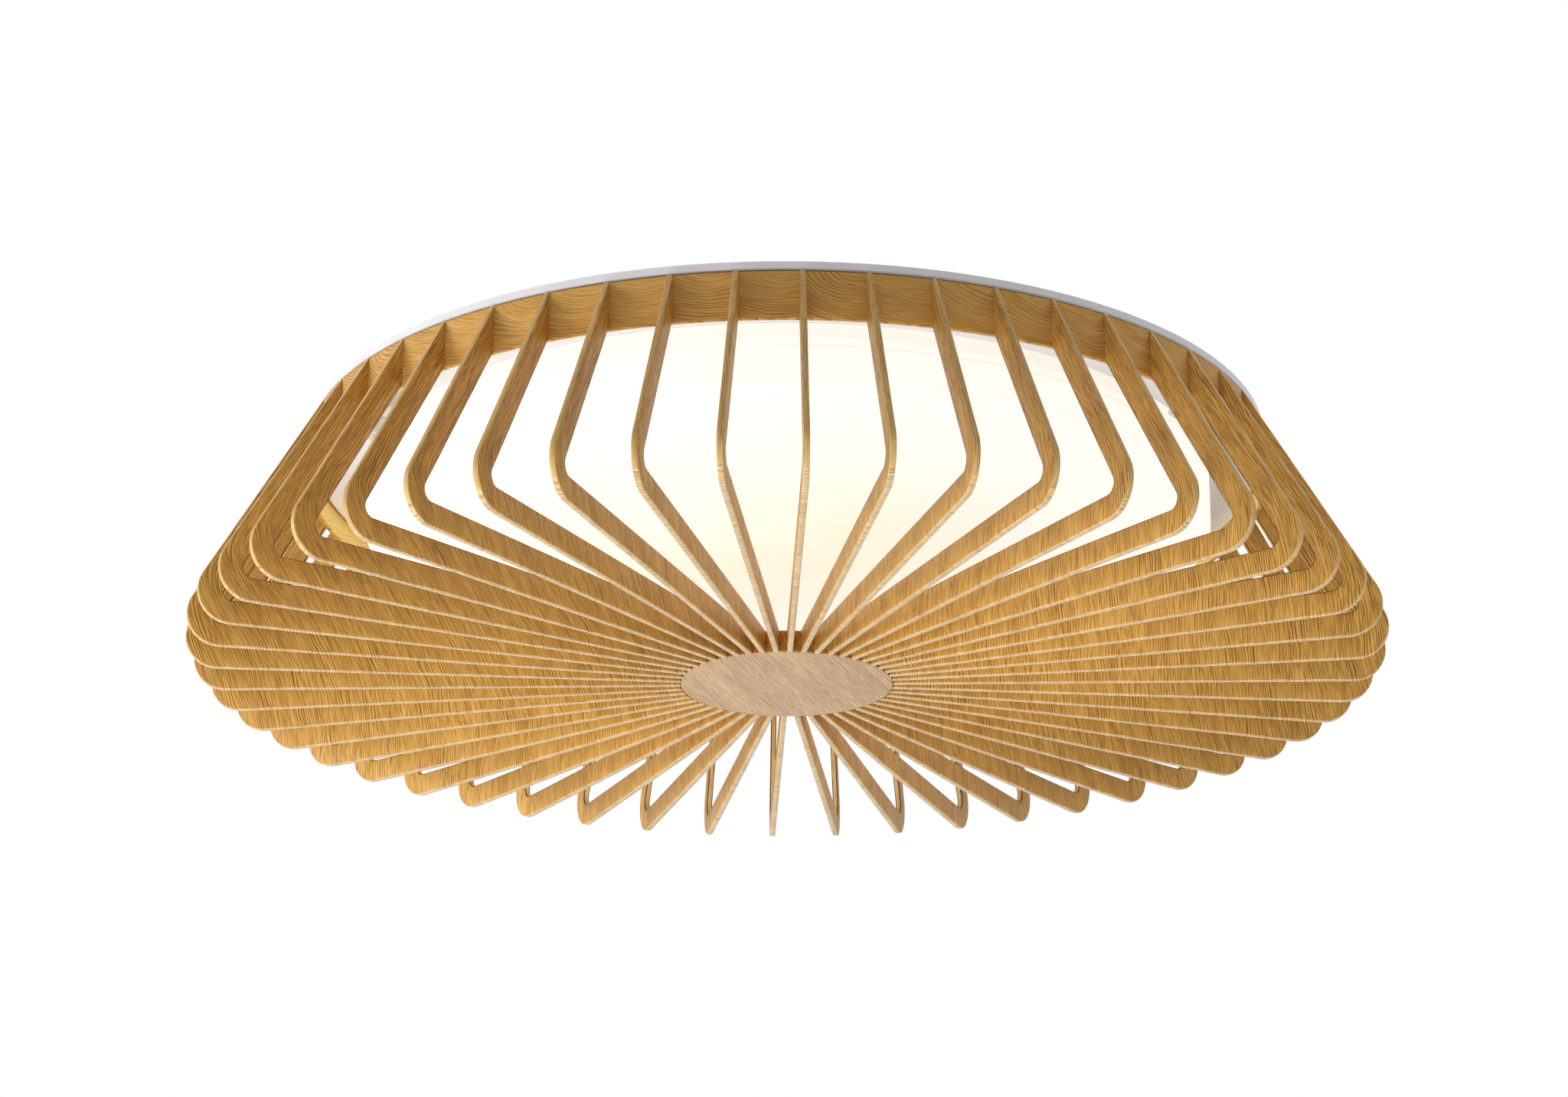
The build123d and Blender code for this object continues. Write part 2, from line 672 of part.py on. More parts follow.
# Mains terminal block: a plastic strip, a square brass tube in each pole, a screw at each tube's end
terminal_bottom = pan_floor - terminal_height
tube_width = 2 * (terminal_hole_radius + terminal_tube_wall)
tube_length = terminal_width - 2 * terminal_tube_recess
clamp_ys = [terminal_y - tube_length / 4, terminal_y + tube_length / 4]
clamp_points = [(x, y) for x in pole_xs for y in clamp_ys]
with BuildPart() as terminal_block:
    with BuildSketch(Plane.XY.offset(pan_floor)):
        with Locations((terminal_x, terminal_y)):
            Rectangle(terminal_length, terminal_width)
    extrude(amount=-terminal_height)
    chamfer(terminal_block.edges().filter_by(Axis.Z), length=terminal_tube_recess)
    with BuildSketch(Plane.XZ.offset(-terminal_y)):
        with Locations(*[(x, lead_centre) for x in pole_xs]):
            Rectangle(tube_width + 2 * glue_gap, tube_width + 2 * glue_gap)
    extrude(amount=terminal_width, both=True, mode=Mode.SUBTRACT)
    with BuildSketch(Plane.XY.offset(terminal_bottom)):
        with Locations(*clamp_points):
            Circle(terminal_screw_radius + glue_gap)
    extrude(amount=lead_centre - terminal_bottom, mode=Mode.SUBTRACT)
    with BuildSketch(Plane.XY.offset(terminal_bottom)):
        with Locations(terminal_screw_point):
            Circle(small_screw_radius + screw_gap)
    extrude(amount=terminal_height, mode=Mode.SUBTRACT)
terminal_block.part.label = "terminal_block"
export_step(terminal_block.part, "parts/terminal_block.step")

with BuildPart() as terminal_tubes:
    tube_ends = terminal_y - tube_length / 2
    with BuildSketch(Plane.XZ.offset(-tube_ends)):
        with Locations(*[(x, lead_centre) for x in pole_xs]):
            Rectangle(tube_width, tube_width)
            Circle(terminal_hole_radius, mode=Mode.SUBTRACT)
    extrude(amount=-tube_length)
    with BuildSketch(Plane.XY.offset(lead_centre)):
        with Locations(*clamp_points):
            Circle(terminal_screw_radius + running_gap)
    extrude(amount=-tube_width, mode=Mode.SUBTRACT)
terminal_tubes.part.label = "terminal_tubes"
export_step(terminal_tubes.part, "parts/terminal_tubes.step")

with BuildPart() as terminal_screws:
    screw_tip = lead_centre - lead_radius
    with BuildSketch(Plane.XY.offset(screw_tip)):
        with Locations(*clamp_points):
            Circle(terminal_screw_radius)
    extrude(amount=-terminal_screw_length)
terminal_screws.part.label = "terminal_screws"
export_step(terminal_screws.part, "parts/terminal_screws.step")
fixing_length = terminal_height + small_screw_length
hex_head_screws("terminal_fixing_screw", [terminal_screw_point], terminal_bottom, length=fixing_length)


# Earth: a ring tag clamped to the pan by a pan-head screw
with BuildPart() as earth_tag:
    with BuildSketch(Plane.XY.offset(pan_floor)):
        with Locations((earth_x, earth_y)):
            Circle(earth_tag_radius)
        with Locations((earth_x, earth_y - earth_tag_radius)):
            Rectangle(2 * lead_radius, 2 * earth_tag_radius, align=(Align.CENTER, Align.CENTER))
        with Locations((earth_x, earth_y)):
            Circle(earth_screw_radius + screw_gap, mode=Mode.SUBTRACT)
    extrude(amount=-earth_tag_thickness)
earth_tag.part.label = "earth_tag"
export_step(earth_tag.part, "parts/earth_tag.step")

earth_seat = pan_floor - earth_tag_thickness
hex_head_screws("earth_screw", [(earth_x, earth_y)], earth_seat, radius=earth_screw_radius)


# Rubber grommet in the pan, where the supply cable comes down
with BuildPart() as cable_grommet:
    with BuildSketch(Plane.XY.offset(pan_floor - grommet_lip)):
        with Locations((cable_x, cable_y)):
            Circle(grommet_flange_radius)
    extrude(amount=pan_sheet + 2 * grommet_lip)
    with BuildSketch(Plane.XY.offset(pan_floor)):
        with Locations((cable_x, cable_y)):
            Circle(grommet_flange_radius + grommet_lip)
            Circle(grommet_hole_radius, mode=Mode.SUBTRACT)
    extrude(amount=pan_sheet, mode=Mode.SUBTRACT)
    with BuildSketch(Plane.XY.offset(pan_floor - grommet_lip)):
        with Locations((cable_x, cable_y)):
            Circle(grommet_bore_radius)
    extrude(amount=pan_sheet + 2 * grommet_lip, mode=Mode.SUBTRACT)
cable_grommet.part.label = "cable_grommet"
export_step(cable_grommet.part, "parts/cable_grommet.step")


# Connector on the light board, open towards the driver for its two leads
connector_x = sum(output_lead_xs) / len(output_lead_xs)
connector_y = -board_inner_radius - connector_overlap
with BuildPart() as board_connector:
    with BuildSketch(Plane.XY.offset(board_bottom)):
        with Locations((connector_x, connector_y - connector_length / 2)):
            RectangleRounded(connector_width, connector_length, lead_radius)
    extrude(amount=lead_centre - 2 * lead_radius - connector_floor - board_bottom)
    with BuildSketch(Plane.XZ.offset(-connector_y)):
        with Locations(*[(x, lead_centre) for x in output_lead_xs]):
            Circle(lead_hole_radius)
    extrude(amount=lead_insertion, mode=Mode.SUBTRACT)
board_connector.part.label = "board_connector"
export_step(board_connector.part, "parts/board_connector.step")


def bend_radii(points):
    """The radius of each bend of a lead, as large as its two runs leave room for."""
    # A bend at each end of a run takes a little less than half of it
    bend_share = 0.45
    radii = []
    for before, corner, after in zip(points, points[1:], points[2:]):
        arriving = Vector(*corner) - Vector(*before)
        leaving = Vector(*after) - Vector(*corner)
        half_turn = radians(arriving.get_angle(leaving)) / 2
        radii.append(bend_share * min(arriving.length, leaving.length) / tan(half_turn))
    return radii


def straight_leads(name, lead_xs, start, end):
    """Short leads side by side along Y, each pushed home at both ends."""
    with BuildPart() as group:
        with BuildSketch(Plane.XZ.offset(-start)):
            with Locations(*[(x, lead_centre) for x in lead_xs]):
                Circle(lead_radius)
        extrude(amount=start - end)
    group.part.label = name
    export_step(group.part, f"parts/{name}.step")


terminal_front = terminal_y - terminal_width / 2
straight_leads("input_leads", input_lead_xs, terminal_front + lead_insertion, driver_rear - lead_insertion)
straight_leads("output_leads", output_lead_xs, driver_front + lead_insertion, connector_y - lead_insertion)

# The earth lead, from the first terminal up to the tail of its tag
earth_lead_run = 18.0
tag_lead_centre = pan_floor - earth_tag_thickness - lead_radius
tag_tail_end = earth_y - 2 * hex_flats_per_diameter * earth_screw_radius
earth_corner_y = terminal_front - earth_lead_run
earth_route = [
    (pole_xs[0], terminal_front + lead_insertion, lead_centre),
    (pole_xs[0], earth_corner_y, lead_centre),
    (earth_x, earth_corner_y, tag_lead_centre),
    (earth_x, tag_tail_end, tag_lead_centre),
]
with BuildPart() as earth_lead:
    with BuildLine() as earth_path:
        FilletPolyline(*earth_route, radius=bend_radii(earth_route))
    with BuildSketch(Plane(origin=earth_path.line @ 0, z_dir=earth_path.line % 0)):
        Circle(lead_radius)
    sweep(path=earth_path.line)
earth_lead.part.label = "earth_lead"
export_step(earth_lead.part, "parts/earth_lead.step")
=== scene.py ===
# %% [markdown]
# # A ceiling light in oak and opal
#
# The lamp is a round cage of fifty thin oak fins. They hang round an opal drum, under a white
# steel pan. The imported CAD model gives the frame: every piece of it is already in its place, in
# metres. This script dresses that frame, and it swaps the oak pieces for finer ones. They could
# be modelled by eye, but then nothing would fit, so each new piece reads its sizes from the nodes
# that it stands for.

# %% Load the frame
import math
import random

import bmesh
import bpy
from mathutils import Matrix, Vector


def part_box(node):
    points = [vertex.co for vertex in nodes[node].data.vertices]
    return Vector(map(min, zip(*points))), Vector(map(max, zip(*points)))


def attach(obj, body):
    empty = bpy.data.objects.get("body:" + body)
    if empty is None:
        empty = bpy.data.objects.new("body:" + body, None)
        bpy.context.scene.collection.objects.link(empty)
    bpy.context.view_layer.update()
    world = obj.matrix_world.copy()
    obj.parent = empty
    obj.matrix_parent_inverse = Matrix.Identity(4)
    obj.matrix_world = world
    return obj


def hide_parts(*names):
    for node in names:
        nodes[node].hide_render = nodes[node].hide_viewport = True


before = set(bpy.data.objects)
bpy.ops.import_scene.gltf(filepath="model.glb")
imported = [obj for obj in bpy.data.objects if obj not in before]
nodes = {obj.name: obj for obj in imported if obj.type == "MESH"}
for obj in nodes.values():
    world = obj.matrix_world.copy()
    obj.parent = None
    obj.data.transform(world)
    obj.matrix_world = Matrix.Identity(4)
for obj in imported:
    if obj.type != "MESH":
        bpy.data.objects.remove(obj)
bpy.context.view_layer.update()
MM = 0.001

# %% [markdown]
# ## The camera
#
# The photograph looks up at the lamp from about two metres away, through a long lens. A camera
# could be moved about until the picture fits. Here its place and its angles were worked out from
# the corners of the fins, so the render can be laid over the photograph. A camera in Blender looks
# along its own -Z, with +Y up, so its matrix has the camera's right, its up and the backward
# direction as columns.

# %% Camera
PITCH = math.radians(19.552)
YAW = math.radians(-0.0915)
ROLL = math.radians(0.1522)
CAMERA_PLACE = Vector((1.39, -1874.2, -718.1)) * MM
SENSOR_WIDTH = 36.0
FOCAL_PIXELS = 5110.4
IMAGE_WIDTH = 2048

forward = Vector((
    math.sin(YAW) * math.cos(PITCH), math.cos(YAW) * math.cos(PITCH), math.sin(PITCH)))
level_right = Vector((math.cos(YAW), -math.sin(YAW), 0))
level_up = level_right.cross(forward)
right = math.cos(ROLL) * level_right + math.sin(ROLL) * level_up
up = math.cos(ROLL) * level_up - math.sin(ROLL) * level_right

camera_data = bpy.data.cameras.new("camera")
camera_data.sensor_width = SENSOR_WIDTH
camera_data.lens = SENSOR_WIDTH * FOCAL_PIXELS / IMAGE_WIDTH
camera = bpy.data.objects.new("camera", camera_data)
bpy.context.scene.collection.objects.link(camera)
turn = Matrix((right, up, -forward)).transposed().to_4x4()
camera.matrix_world = Matrix.Translation(CAMERA_PLACE) @ turn
bpy.context.scene.camera = camera
bpy.context.scene.view_settings.view_transform = "Standard"
print("lens", round(camera_data.lens, 2), "mm")

# %% [markdown]
# ## Small helpers for nodes
#
# A material is a graph of nodes. It could be wired up by hand in the editor. Here helpers add a
# node with its settings and join it to the nodes before it, so that each recipe below reads as a
# list of steps.

# %% Node helpers
def add_node(tree, kind, inputs=None, **settings):
    """A new node with its settings. An input is given a number or another node's output."""
    node = tree.nodes.new(kind)
    for name, value in settings.items():
        setattr(node, name, value)
    for socket, value in (inputs or {}).items():
        if isinstance(value, bpy.types.NodeSocket):
            tree.links.new(value, node.inputs[socket])
        else:
            node.inputs[socket].default_value = value
    return node


def math_node(tree, operation, *values):
    """The output of a Math node."""
    node = add_node(tree, "ShaderNodeMath", dict(enumerate(values)), operation=operation)
    return node.outputs[0]


def vector_node(tree, operation, *values):
    """The vector output of a Vector Math node, or its value for a dot product."""
    node = add_node(tree, "ShaderNodeVectorMath", dict(enumerate(values)), operation=operation)
    return node.outputs["Value" if operation == "DOT_PRODUCT" else "Vector"]


def vector_length(tree, vector):
    """The length of a vector."""
    return add_node(tree, "ShaderNodeVectorMath", {0: vector}, operation="LENGTH").outputs["Value"]


def remap(tree, value, low, high, to_low=0.0, to_high=1.0):
    """Stretches a value from one range to another, clamped at both ends."""
    node = add_node(tree, "ShaderNodeMapRange", {
        "Value": value, "From Min": low, "From Max": high, "To Min": to_low, "To Max": to_high})
    return node.outputs["Result"]


def blend_colours(tree, amount, first, second):
    """Mixes two colours by an amount."""
    node = add_node(tree, "ShaderNodeMix", {0: amount, 6: first, 7: second}, data_type="RGBA")
    return node.outputs[2]


print("made the node helpers")

# %% [markdown]
# Colours are read from the photograph from 0 to 255, as an eye sees their steps. A shader counts
# light instead, so each colour is turned into linear values once, here.

# %% Colours
def srgb(red, green, blue):
    """A colour from 0 to 255, turned into the linear values that a shader takes."""
    def linear(channel):
        part = channel / 255
        return part / 12.92 if part <= 0.04045 else ((part + 0.055) / 1.055) ** 2.4
    return (linear(red), linear(green), linear(blue), 1.0)


print("a middle grey of 128 is", round(srgb(128, 128, 128)[0], 3), "in linear light")

# %% [markdown]
# ## Oak grain
#
# A tree grows in rings round its pith, and every board shows a cut through them. A picture of oak
# could be laid over the wood, but it would repeat. The grain is built as the tree builds it
# instead: one group gives the distance from a line in space, the pith, in millimetres, and a
# second draws the figure, for every oak finish. A few helpers serve both.

# %% Helpers for the groups
def new_group(name, inputs, outputs):
    """An empty node group with its sockets, and its input and output nodes."""
    group = bpy.data.node_groups.new(name, "ShaderNodeTree")
    for label, kind, value in inputs:
        socket = group.interface.new_socket(label, in_out="INPUT", socket_type=kind)
        if value is not None:
            socket.default_value = value
    for label, kind in outputs:
        group.interface.new_socket(label, in_out="OUTPUT", socket_type=kind)
    return group, group.nodes.new("NodeGroupInput"), group.nodes.new("NodeGroupOutput")


def scaled(tree, vector, factor):
    """A vector times a number, or times another node's value."""
    node = add_node(
        tree, "ShaderNodeVectorMath", {0: vector, "Scale": factor}, operation="SCALE")
    return node.outputs[0]


def height_of(tree, place):
    """How high a place is."""
    return add_node(tree, "ShaderNodeSeparateXYZ", {0: place}).outputs["Z"]


def wander(tree, place, size, amount):
    """Moves a place about by a slow noise, so that no ring stays a true circle."""
    noise = add_node(tree, "ShaderNodeTexNoise", {
        "Vector": place, "Scale": 1 / size, "Detail": 2.0})
    centred = vector_node(tree, "SUBTRACT", noise.outputs["Color"], (0.5, 0.5, 0.5))
    return vector_node(tree, "ADD", place, scaled(tree, centred, amount))


print("made the group helpers")

# %% [markdown]
# The log of the disc lies level, with its pith beside and below the lamp, so that the disc shows
# lines which are almost straight. A slow wave and a fine ripple keep its rings from being true
# circles. A flat set of lines could do for one disc, but it would not fit round its edge.

# %% Ring distance group
PITH_PLACE = (-420.0, 0.0, -260.0)
PITH_DIRECTION = Vector((0.34, 0.94, 0.0)).normalized()
PITH_ACROSS = Vector((PITH_DIRECTION.y, -PITH_DIRECTION.x, 0)).normalized()
PITH_UPWARDS = PITH_DIRECTION.cross(PITH_ACROSS).normalized()
WAVE_SIZE = 110.0
RIPPLE_SIZE, RIPPLE_DEPTH = 9.0, 0.4


def build_ring_distance():
    """Places in millimetres in, the places a little bent and their distance from the pith out."""
    group, start, end = new_group(
        "ring_distance", [("Place", "NodeSocketVector", None), ("Wander", "NodeSocketFloat", 16.0)],
        [("Place", "NodeSocketVector"), ("Ring", "NodeSocketFloat")])
    place = vector_node(group, "SUBTRACT", start.outputs["Place"], PITH_PLACE)
    place = wander(group, place, WAVE_SIZE, start.outputs["Wander"])
    place = wander(group, place, RIPPLE_SIZE, RIPPLE_DEPTH)
    across = vector_node(group, "DOT_PRODUCT", place, tuple(PITH_ACROSS))
    upwards = vector_node(group, "DOT_PRODUCT", place, tuple(PITH_UPWARDS))
    squares = [math_node(group, "MULTIPLY", value, value) for value in (across, upwards)]
    ring = math_node(group, "SQRT", math_node(group, "ADD", *squares))
    group.links.new(place, end.inputs["Place"])
    group.links.new(ring, end.inputs["Ring"])
    return group


ring_distance = build_ring_distance()
print("ring distance nodes", len(ring_distance.nodes))

# %% [markdown]
# The dark lines of oak are rows of open pores, one row for each year. A Wave texture could draw
# them, but its lines never break. Here each ring gives one line, dark on one side and fading on
# the other. Noise that is drawn out along the rings cuts it into dashes, and a slower one makes it
# strong in some zones and faint in others. The noise is stretched by counting the rings in its
# fourth coordinate. Below the lines lie single pores, the fibre and the slow change of the years.

# %% Layers of the figure
# Each layer has a spacing across the rings and a length along them, in millimetres
UNEVEN_SPACING, UNEVEN_LENGTH = 7.0, 45.0
DASH_SPACING = 0.45
CROWD_SPACING, CROWD_LENGTH = 14.0, 50.0
PORE_SPACING, PORE_LENGTH = 0.34, 8.0
GROWTH_SPACING, GROWTH_LENGTH = 5.0, 90.0
FIBRE_SPACING, FIBRE_LENGTH = 0.4, 10.0
# A line is dark from 0 to LINE_CORE of its ring, and grows dark again from LINE_RISE on
LINE_CORE, LINE_RISE = 0.06, 0.9
# A range has a low and a high value of noise and, where they aren't 0 and 1, what these become
DASH_RANGE, CROWD_RANGE = (0.38, 0.52, 0.1, 1.0), (0.34, 0.60, 0.4, 1.0)
PORE_RANGE, TONE_RANGE = (0.54, 0.64), (0.36, 0.64)
print("dashes are", DASH_SPACING, "mm apart and pores", PORE_SPACING, "mm, across the rings")

# %% Oak figure group
def build_oak_figure():
    """Places and ring distances in, tone, lines and height out."""
    group, start, end = new_group(
        "oak_figure",
        [("Place", "NodeSocketVector", None), ("Ring", "NodeSocketFloat", 0.0),
         ("Line Spacing", "NodeSocketFloat", 1.35), ("Line Length", "NodeSocketFloat", 22.0),
         ("Line Width", "NodeSocketFloat", 0.42), ("Pores", "NodeSocketFloat", 0.5),
         ("Unevenness", "NodeSocketFloat", 4.0)],
        [("Tone", "NodeSocketFloat"), ("Lines", "NodeSocketFloat"), ("Height", "NodeSocketFloat")])
    place, ring = start.outputs["Place"], start.outputs["Ring"]

    def streaks(spacing, length, detail):
        """Noise drawn out along the rings."""
        linked = isinstance(length, bpy.types.NodeSocket)
        shrink = math_node(group, "DIVIDE", 1.0, length) if linked else 1 / length
        stretched = scaled(group, place, shrink)
        noise = add_node(group, "ShaderNodeTexNoise", {
            "Vector": stretched, "W": math_node(group, "DIVIDE", ring, spacing), "Scale": 1.0,
            "Detail": detail}, noise_dimensions="4D")
        return noise.outputs["Fac"]

    uneven = streaks(UNEVEN_SPACING, UNEVEN_LENGTH, 1.0)
    uneven = math_node(group, "MULTIPLY", uneven, start.outputs["Unevenness"])
    count = math_node(group, "DIVIDE", ring, start.outputs["Line Spacing"])
    part = math_node(group, "FRACT", math_node(group, "ADD", count, uneven))
    fading = remap(group, part, LINE_CORE, start.outputs["Line Width"], 1.0, 0.0)
    starting = remap(group, part, LINE_RISE, 1.0)
    line = math_node(group, "MAXIMUM", fading, starting)

    dashes = streaks(DASH_SPACING, start.outputs["Line Length"], 1.0)
    dashes = remap(group, dashes, *DASH_RANGE)
    crowding = remap(group, streaks(CROWD_SPACING, CROWD_LENGTH, 2.0), *CROWD_RANGE)
    strong = math_node(group, "MULTIPLY", math_node(group, "MULTIPLY", line, dashes), crowding)
    pores = remap(group, streaks(PORE_SPACING, PORE_LENGTH, 0.0), *PORE_RANGE)
    pores = math_node(group, "MULTIPLY", pores, start.outputs["Pores"])
    lines = math_node(group, "MAXIMUM", strong, pores)

    growth = math_node(group, "MULTIPLY", streaks(GROWTH_SPACING, GROWTH_LENGTH, 2.0), 0.5)
    fibres = streaks(FIBRE_SPACING, FIBRE_LENGTH, 0.5)
    tone = math_node(group, "ADD", growth, math_node(group, "MULTIPLY", fibres, 0.5))
    tone = remap(group, tone, *TONE_RANGE)
    height = math_node(group, "SUBTRACT", math_node(group, "MULTIPLY", fibres, 0.3), lines)
    for label, value in (("Tone", tone), ("Lines", lines), ("Height", height)):
        group.links.new(value, end.inputs[label])
    return group


oak_figure = build_oak_figure()
print("oak figure nodes", len(oak_figure.nodes))

# %% [markdown]
# ## Sizes of the cage
#
# A fin is a bent board with a corner low down and outside. Its ends sit on the band and in the
# disc, so the new fins could be measured in the photograph or read from the frame. They are read
# from the frame, because they stand for its fins. Only what a box can't tell is written here.

# %% Fin sizes
band_low, band_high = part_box("band")
disc_low, disc_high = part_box("hub_disc")
BAND_RADIUS = band_high.x
DISC_RADIUS = disc_high.x
BAND_TOP, BAND_BOTTOM = band_high.z, band_low.z
CAGE_BOTTOM, LOWER_LEG_TOP = disc_low.z, disc_high.z
FIN_COUNT = 50
FIN_THICKNESS = 3.0 * MM
FIRST_FIN_AZIMUTH = 1.64
FIN_TIP_RADIUS = BAND_RADIUS + 69.0 * MM
OUTER_CORNER, INNER_CORNER = 16.5 * MM, 5.1 * MM
TONGUE_LENGTH, TONGUE_HEIGHT = 6.0 * MM, 7.5 * MM
EDGE_ROUNDING = 0.5 * MM
CORNER_STEPS = 12

lean = math.atan((FIN_TIP_RADIUS - BAND_RADIUS) / (BAND_TOP - CAGE_BOTTOM))
corner_angle = math.pi / 2 - lean
print("fins lean", round(math.degrees(lean), 2), "degrees")

# %% [markdown]
# A fin's grain doesn't come straight out of the log. On the real fins it follows the upper leg,
# turns with the corner, and then crosses the lower leg at a slant. The slant changes round the
# lamp. A map could be painted for each fin, but a sum does it for all of them: a second group
# counts the rings from the fin's tip inwards, and shifts them by an amount that depends on the
# height only. That shift has two slopes, one for each leg, and a smooth minimum rounds the place
# where one takes over from the other.

# %% Fin rings group
TURN_HEIGHT = 24.0
CORNER_BLEND = 20.0
BOARD_WAVE_SIZE, BOARD_WAVE_DEPTH = 60.0, 9.0
BOARD_RIPPLE_SIZE, BOARD_RIPPLE_DEPTH = 9.0, 0.7
BOARD_SHIFT = (311.0, 173.0, 97.0)
BOARD_START_RING = 9.0


def build_fin_rings():
    """Places in millimetres in, the rings of a board that was bent round the corner out."""
    group, start, end = new_group(
        "fin_rings",
        [("Place", "NodeSocketVector", None), ("Board", "NodeSocketFloat", 0.0),
         ("Slant", "NodeSocketFloat", 0.0)],
        [("Place", "NodeSocketVector"), ("Ring", "NodeSocketFloat")])
    board = start.outputs["Board"]
    # Every board has its own waves, so the noise is read from another place for each
    elsewhere = vector_node(group, "ADD", start.outputs["Place"], scaled(group, BOARD_SHIFT, board))
    bent = wander(group, elsewhere, BOARD_WAVE_SIZE, BOARD_WAVE_DEPTH)
    bent = wander(group, bent, BOARD_RIPPLE_SIZE, BOARD_RIPPLE_DEPTH)
    bend = vector_node(group, "SUBTRACT", bent, elsewhere)
    place = vector_node(group, "ADD", start.outputs["Place"], bend)
    level = vector_node(group, "MULTIPLY", place, (1.0, 1.0, 0.0))
    radius = vector_length(group, level)
    height = height_of(group, place)
    inwards = math_node(group, "SUBTRACT", FIN_TIP_RADIUS / MM, radius)
    upwards = math_node(group, "SUBTRACT", height, CAGE_BOTTOM / MM)
    steep = math.tan(lean)
    slant = start.outputs["Slant"]
    low_shift = math_node(group, "MULTIPLY", upwards, slant)
    turned = math_node(group, "MULTIPLY", math_node(group, "ADD", slant, steep), TURN_HEIGHT)
    high_shift = math_node(group, "SUBTRACT", turned, math_node(group, "MULTIPLY", upwards, steep))
    shift = math_node(group, "SMOOTH_MIN", low_shift, high_shift, CORNER_BLEND)
    start_ring = math_node(group, "MULTIPLY", board, BOARD_START_RING)
    ring = math_node(group, "ADD", math_node(group, "ADD", inwards, shift), start_ring)
    group.links.new(vector_node(group, "ADD", elsewhere, bend), end.inputs["Place"])
    group.links.new(ring, end.inputs["Ring"])
    return group


fin_rings = build_fin_rings()
print("fin rings nodes", len(fin_rings.nodes))

# %% [markdown]
# ## The oak finishes
#
# The lamp's oak comes in a few looks. The broad faces of a fin are golden veneer. Its narrow edges
# are banded with the same oak, painted a little lighter as a highlight where they catch the light.
# Undersides are painted paler and pinker, as light from below falls on them, the sides of the disc
# are painted darker as shade, and the inner side of the band is painted golden, as the light of
# the drum falls on it. Each look could be a material with a grain of its own, but it is the same
# wood, so they all share one recipe, and differ in three tones: a light one, a middle one and the
# colour of the lines.

# %% Oak tones
GOLDEN = (srgb(240, 190, 102), srgb(218, 164, 78), srgb(92, 44, 10))
# Banded edges: the same oak, painted lighter as a highlight where the eased edges catch the light
EDGE_TONES_WITH_HIGHLIGHT = (srgb(250, 212, 140), srgb(234, 186, 110), srgb(126, 76, 32))
# Painted shade: darker tones for the top and sides of the disc
SHADED = (srgb(206, 142, 66), srgb(180, 114, 44), srgb(96, 48, 12))
# Painted light: paler, pinker tones for surfaces that face the floor, as light from below falls on
# them
PAINTED_UNDERSIDE_LIGHT = (srgb(255, 230, 182), srgb(244, 206, 152), srgb(130, 80, 40))
# Painted light: golden tones for the inner side of the band, where the drum's light falls
PAINTED_DRUM_LIGHT = (srgb(255, 226, 140), srgb(252, 214, 122), srgb(214, 160, 74))
# Painted shade: a dark tone for the line in the gap at the band's upper edge and along the fins'
# inner edges
PAINTED_SHADE_LINE = (srgb(120, 84, 50), srgb(98, 66, 38), srgb(60, 40, 24))
DISC_PAINTED_UNDERSIDE_LIGHT = (srgb(240, 208, 166), srgb(220, 182, 144), srgb(100, 62, 40))
BAND_TONES = (srgb(236, 186, 106), srgb(214, 160, 80), srgb(98, 52, 16))
print("golden oak, middle tone", [round(channel, 3) for channel in GOLDEN[1][:3]])

# %% [markdown]
# Every finish starts in the same way. A new material brings nodes of its own, and they could be
# kept, but which ones they are depends on Blender. So the tree is emptied first, and then gets a
# shader for the surface and an output.

# %% Start of a material
def start_material(name):
    """A material with only a shader and an output."""
    material = bpy.data.materials.new(name)
    material.use_nodes = True
    tree = material.node_tree
    tree.nodes.clear()
    shader = tree.nodes.new("ShaderNodeBsdfPrincipled")
    output = tree.nodes.new("ShaderNodeOutputMaterial")
    tree.links.new(shader.outputs[0], output.inputs[0])
    return material, tree, shader


def dress_shader(tree, shader, colour, roughness, height, strength, depth):
    """Gives a shader its colour, its roughness and a bump from a height."""
    bump = add_node(tree, "ShaderNodeBump", {
        "Height": height, "Strength": strength, "Distance": depth})
    for label, value in (
            ("Base Color", colour), ("Roughness", roughness), ("Normal", bump.outputs["Normal"])):
        tree.links.new(value, shader.inputs[label])


print("made the start of a material")

# %% [markdown]
# The figure needs to know where a point lies in the wood. For the disc that is a place in the log.
# A fin carries its board's number and its slant in its vertices, as attributes, so that all fifty
# fins can share a material. Object coordinates fit both, because they move with the piece.

# %% Grain coordinates
TURN_STARTS, TURN_ENDS = 0.25, 0.95


def object_place(tree):
    """The place of a point on the piece, in metres."""
    return tree.nodes.new("ShaderNodeTexCoord").outputs["Object"]


def attribute_value(tree, name):
    """A number that was written into the vertices."""
    return add_node(tree, "ShaderNodeAttribute", attribute_name=name).outputs["Fac"]


def sawn_from_log(tree, waver):
    """Grain coordinates of a board sawn from the log: its places and ring distances."""
    log = add_node(tree, "ShaderNodeGroup", {
        "Place": scaled(tree, object_place(tree), 1 / MM), "Wander": waver},
        node_tree=ring_distance)
    return log.outputs["Place"], log.outputs["Ring"]


def bent_board(tree):
    """Grain coordinates of a fin, whose number and slant are attributes of its vertices."""
    board = add_node(tree, "ShaderNodeGroup", {
        "Place": scaled(tree, object_place(tree), 1 / MM),
        "Board": attribute_value(tree, "fin_number"), "Slant": attribute_value(tree, "slant")},
        node_tree=fin_rings)
    return board.outputs["Place"], board.outputs["Ring"]


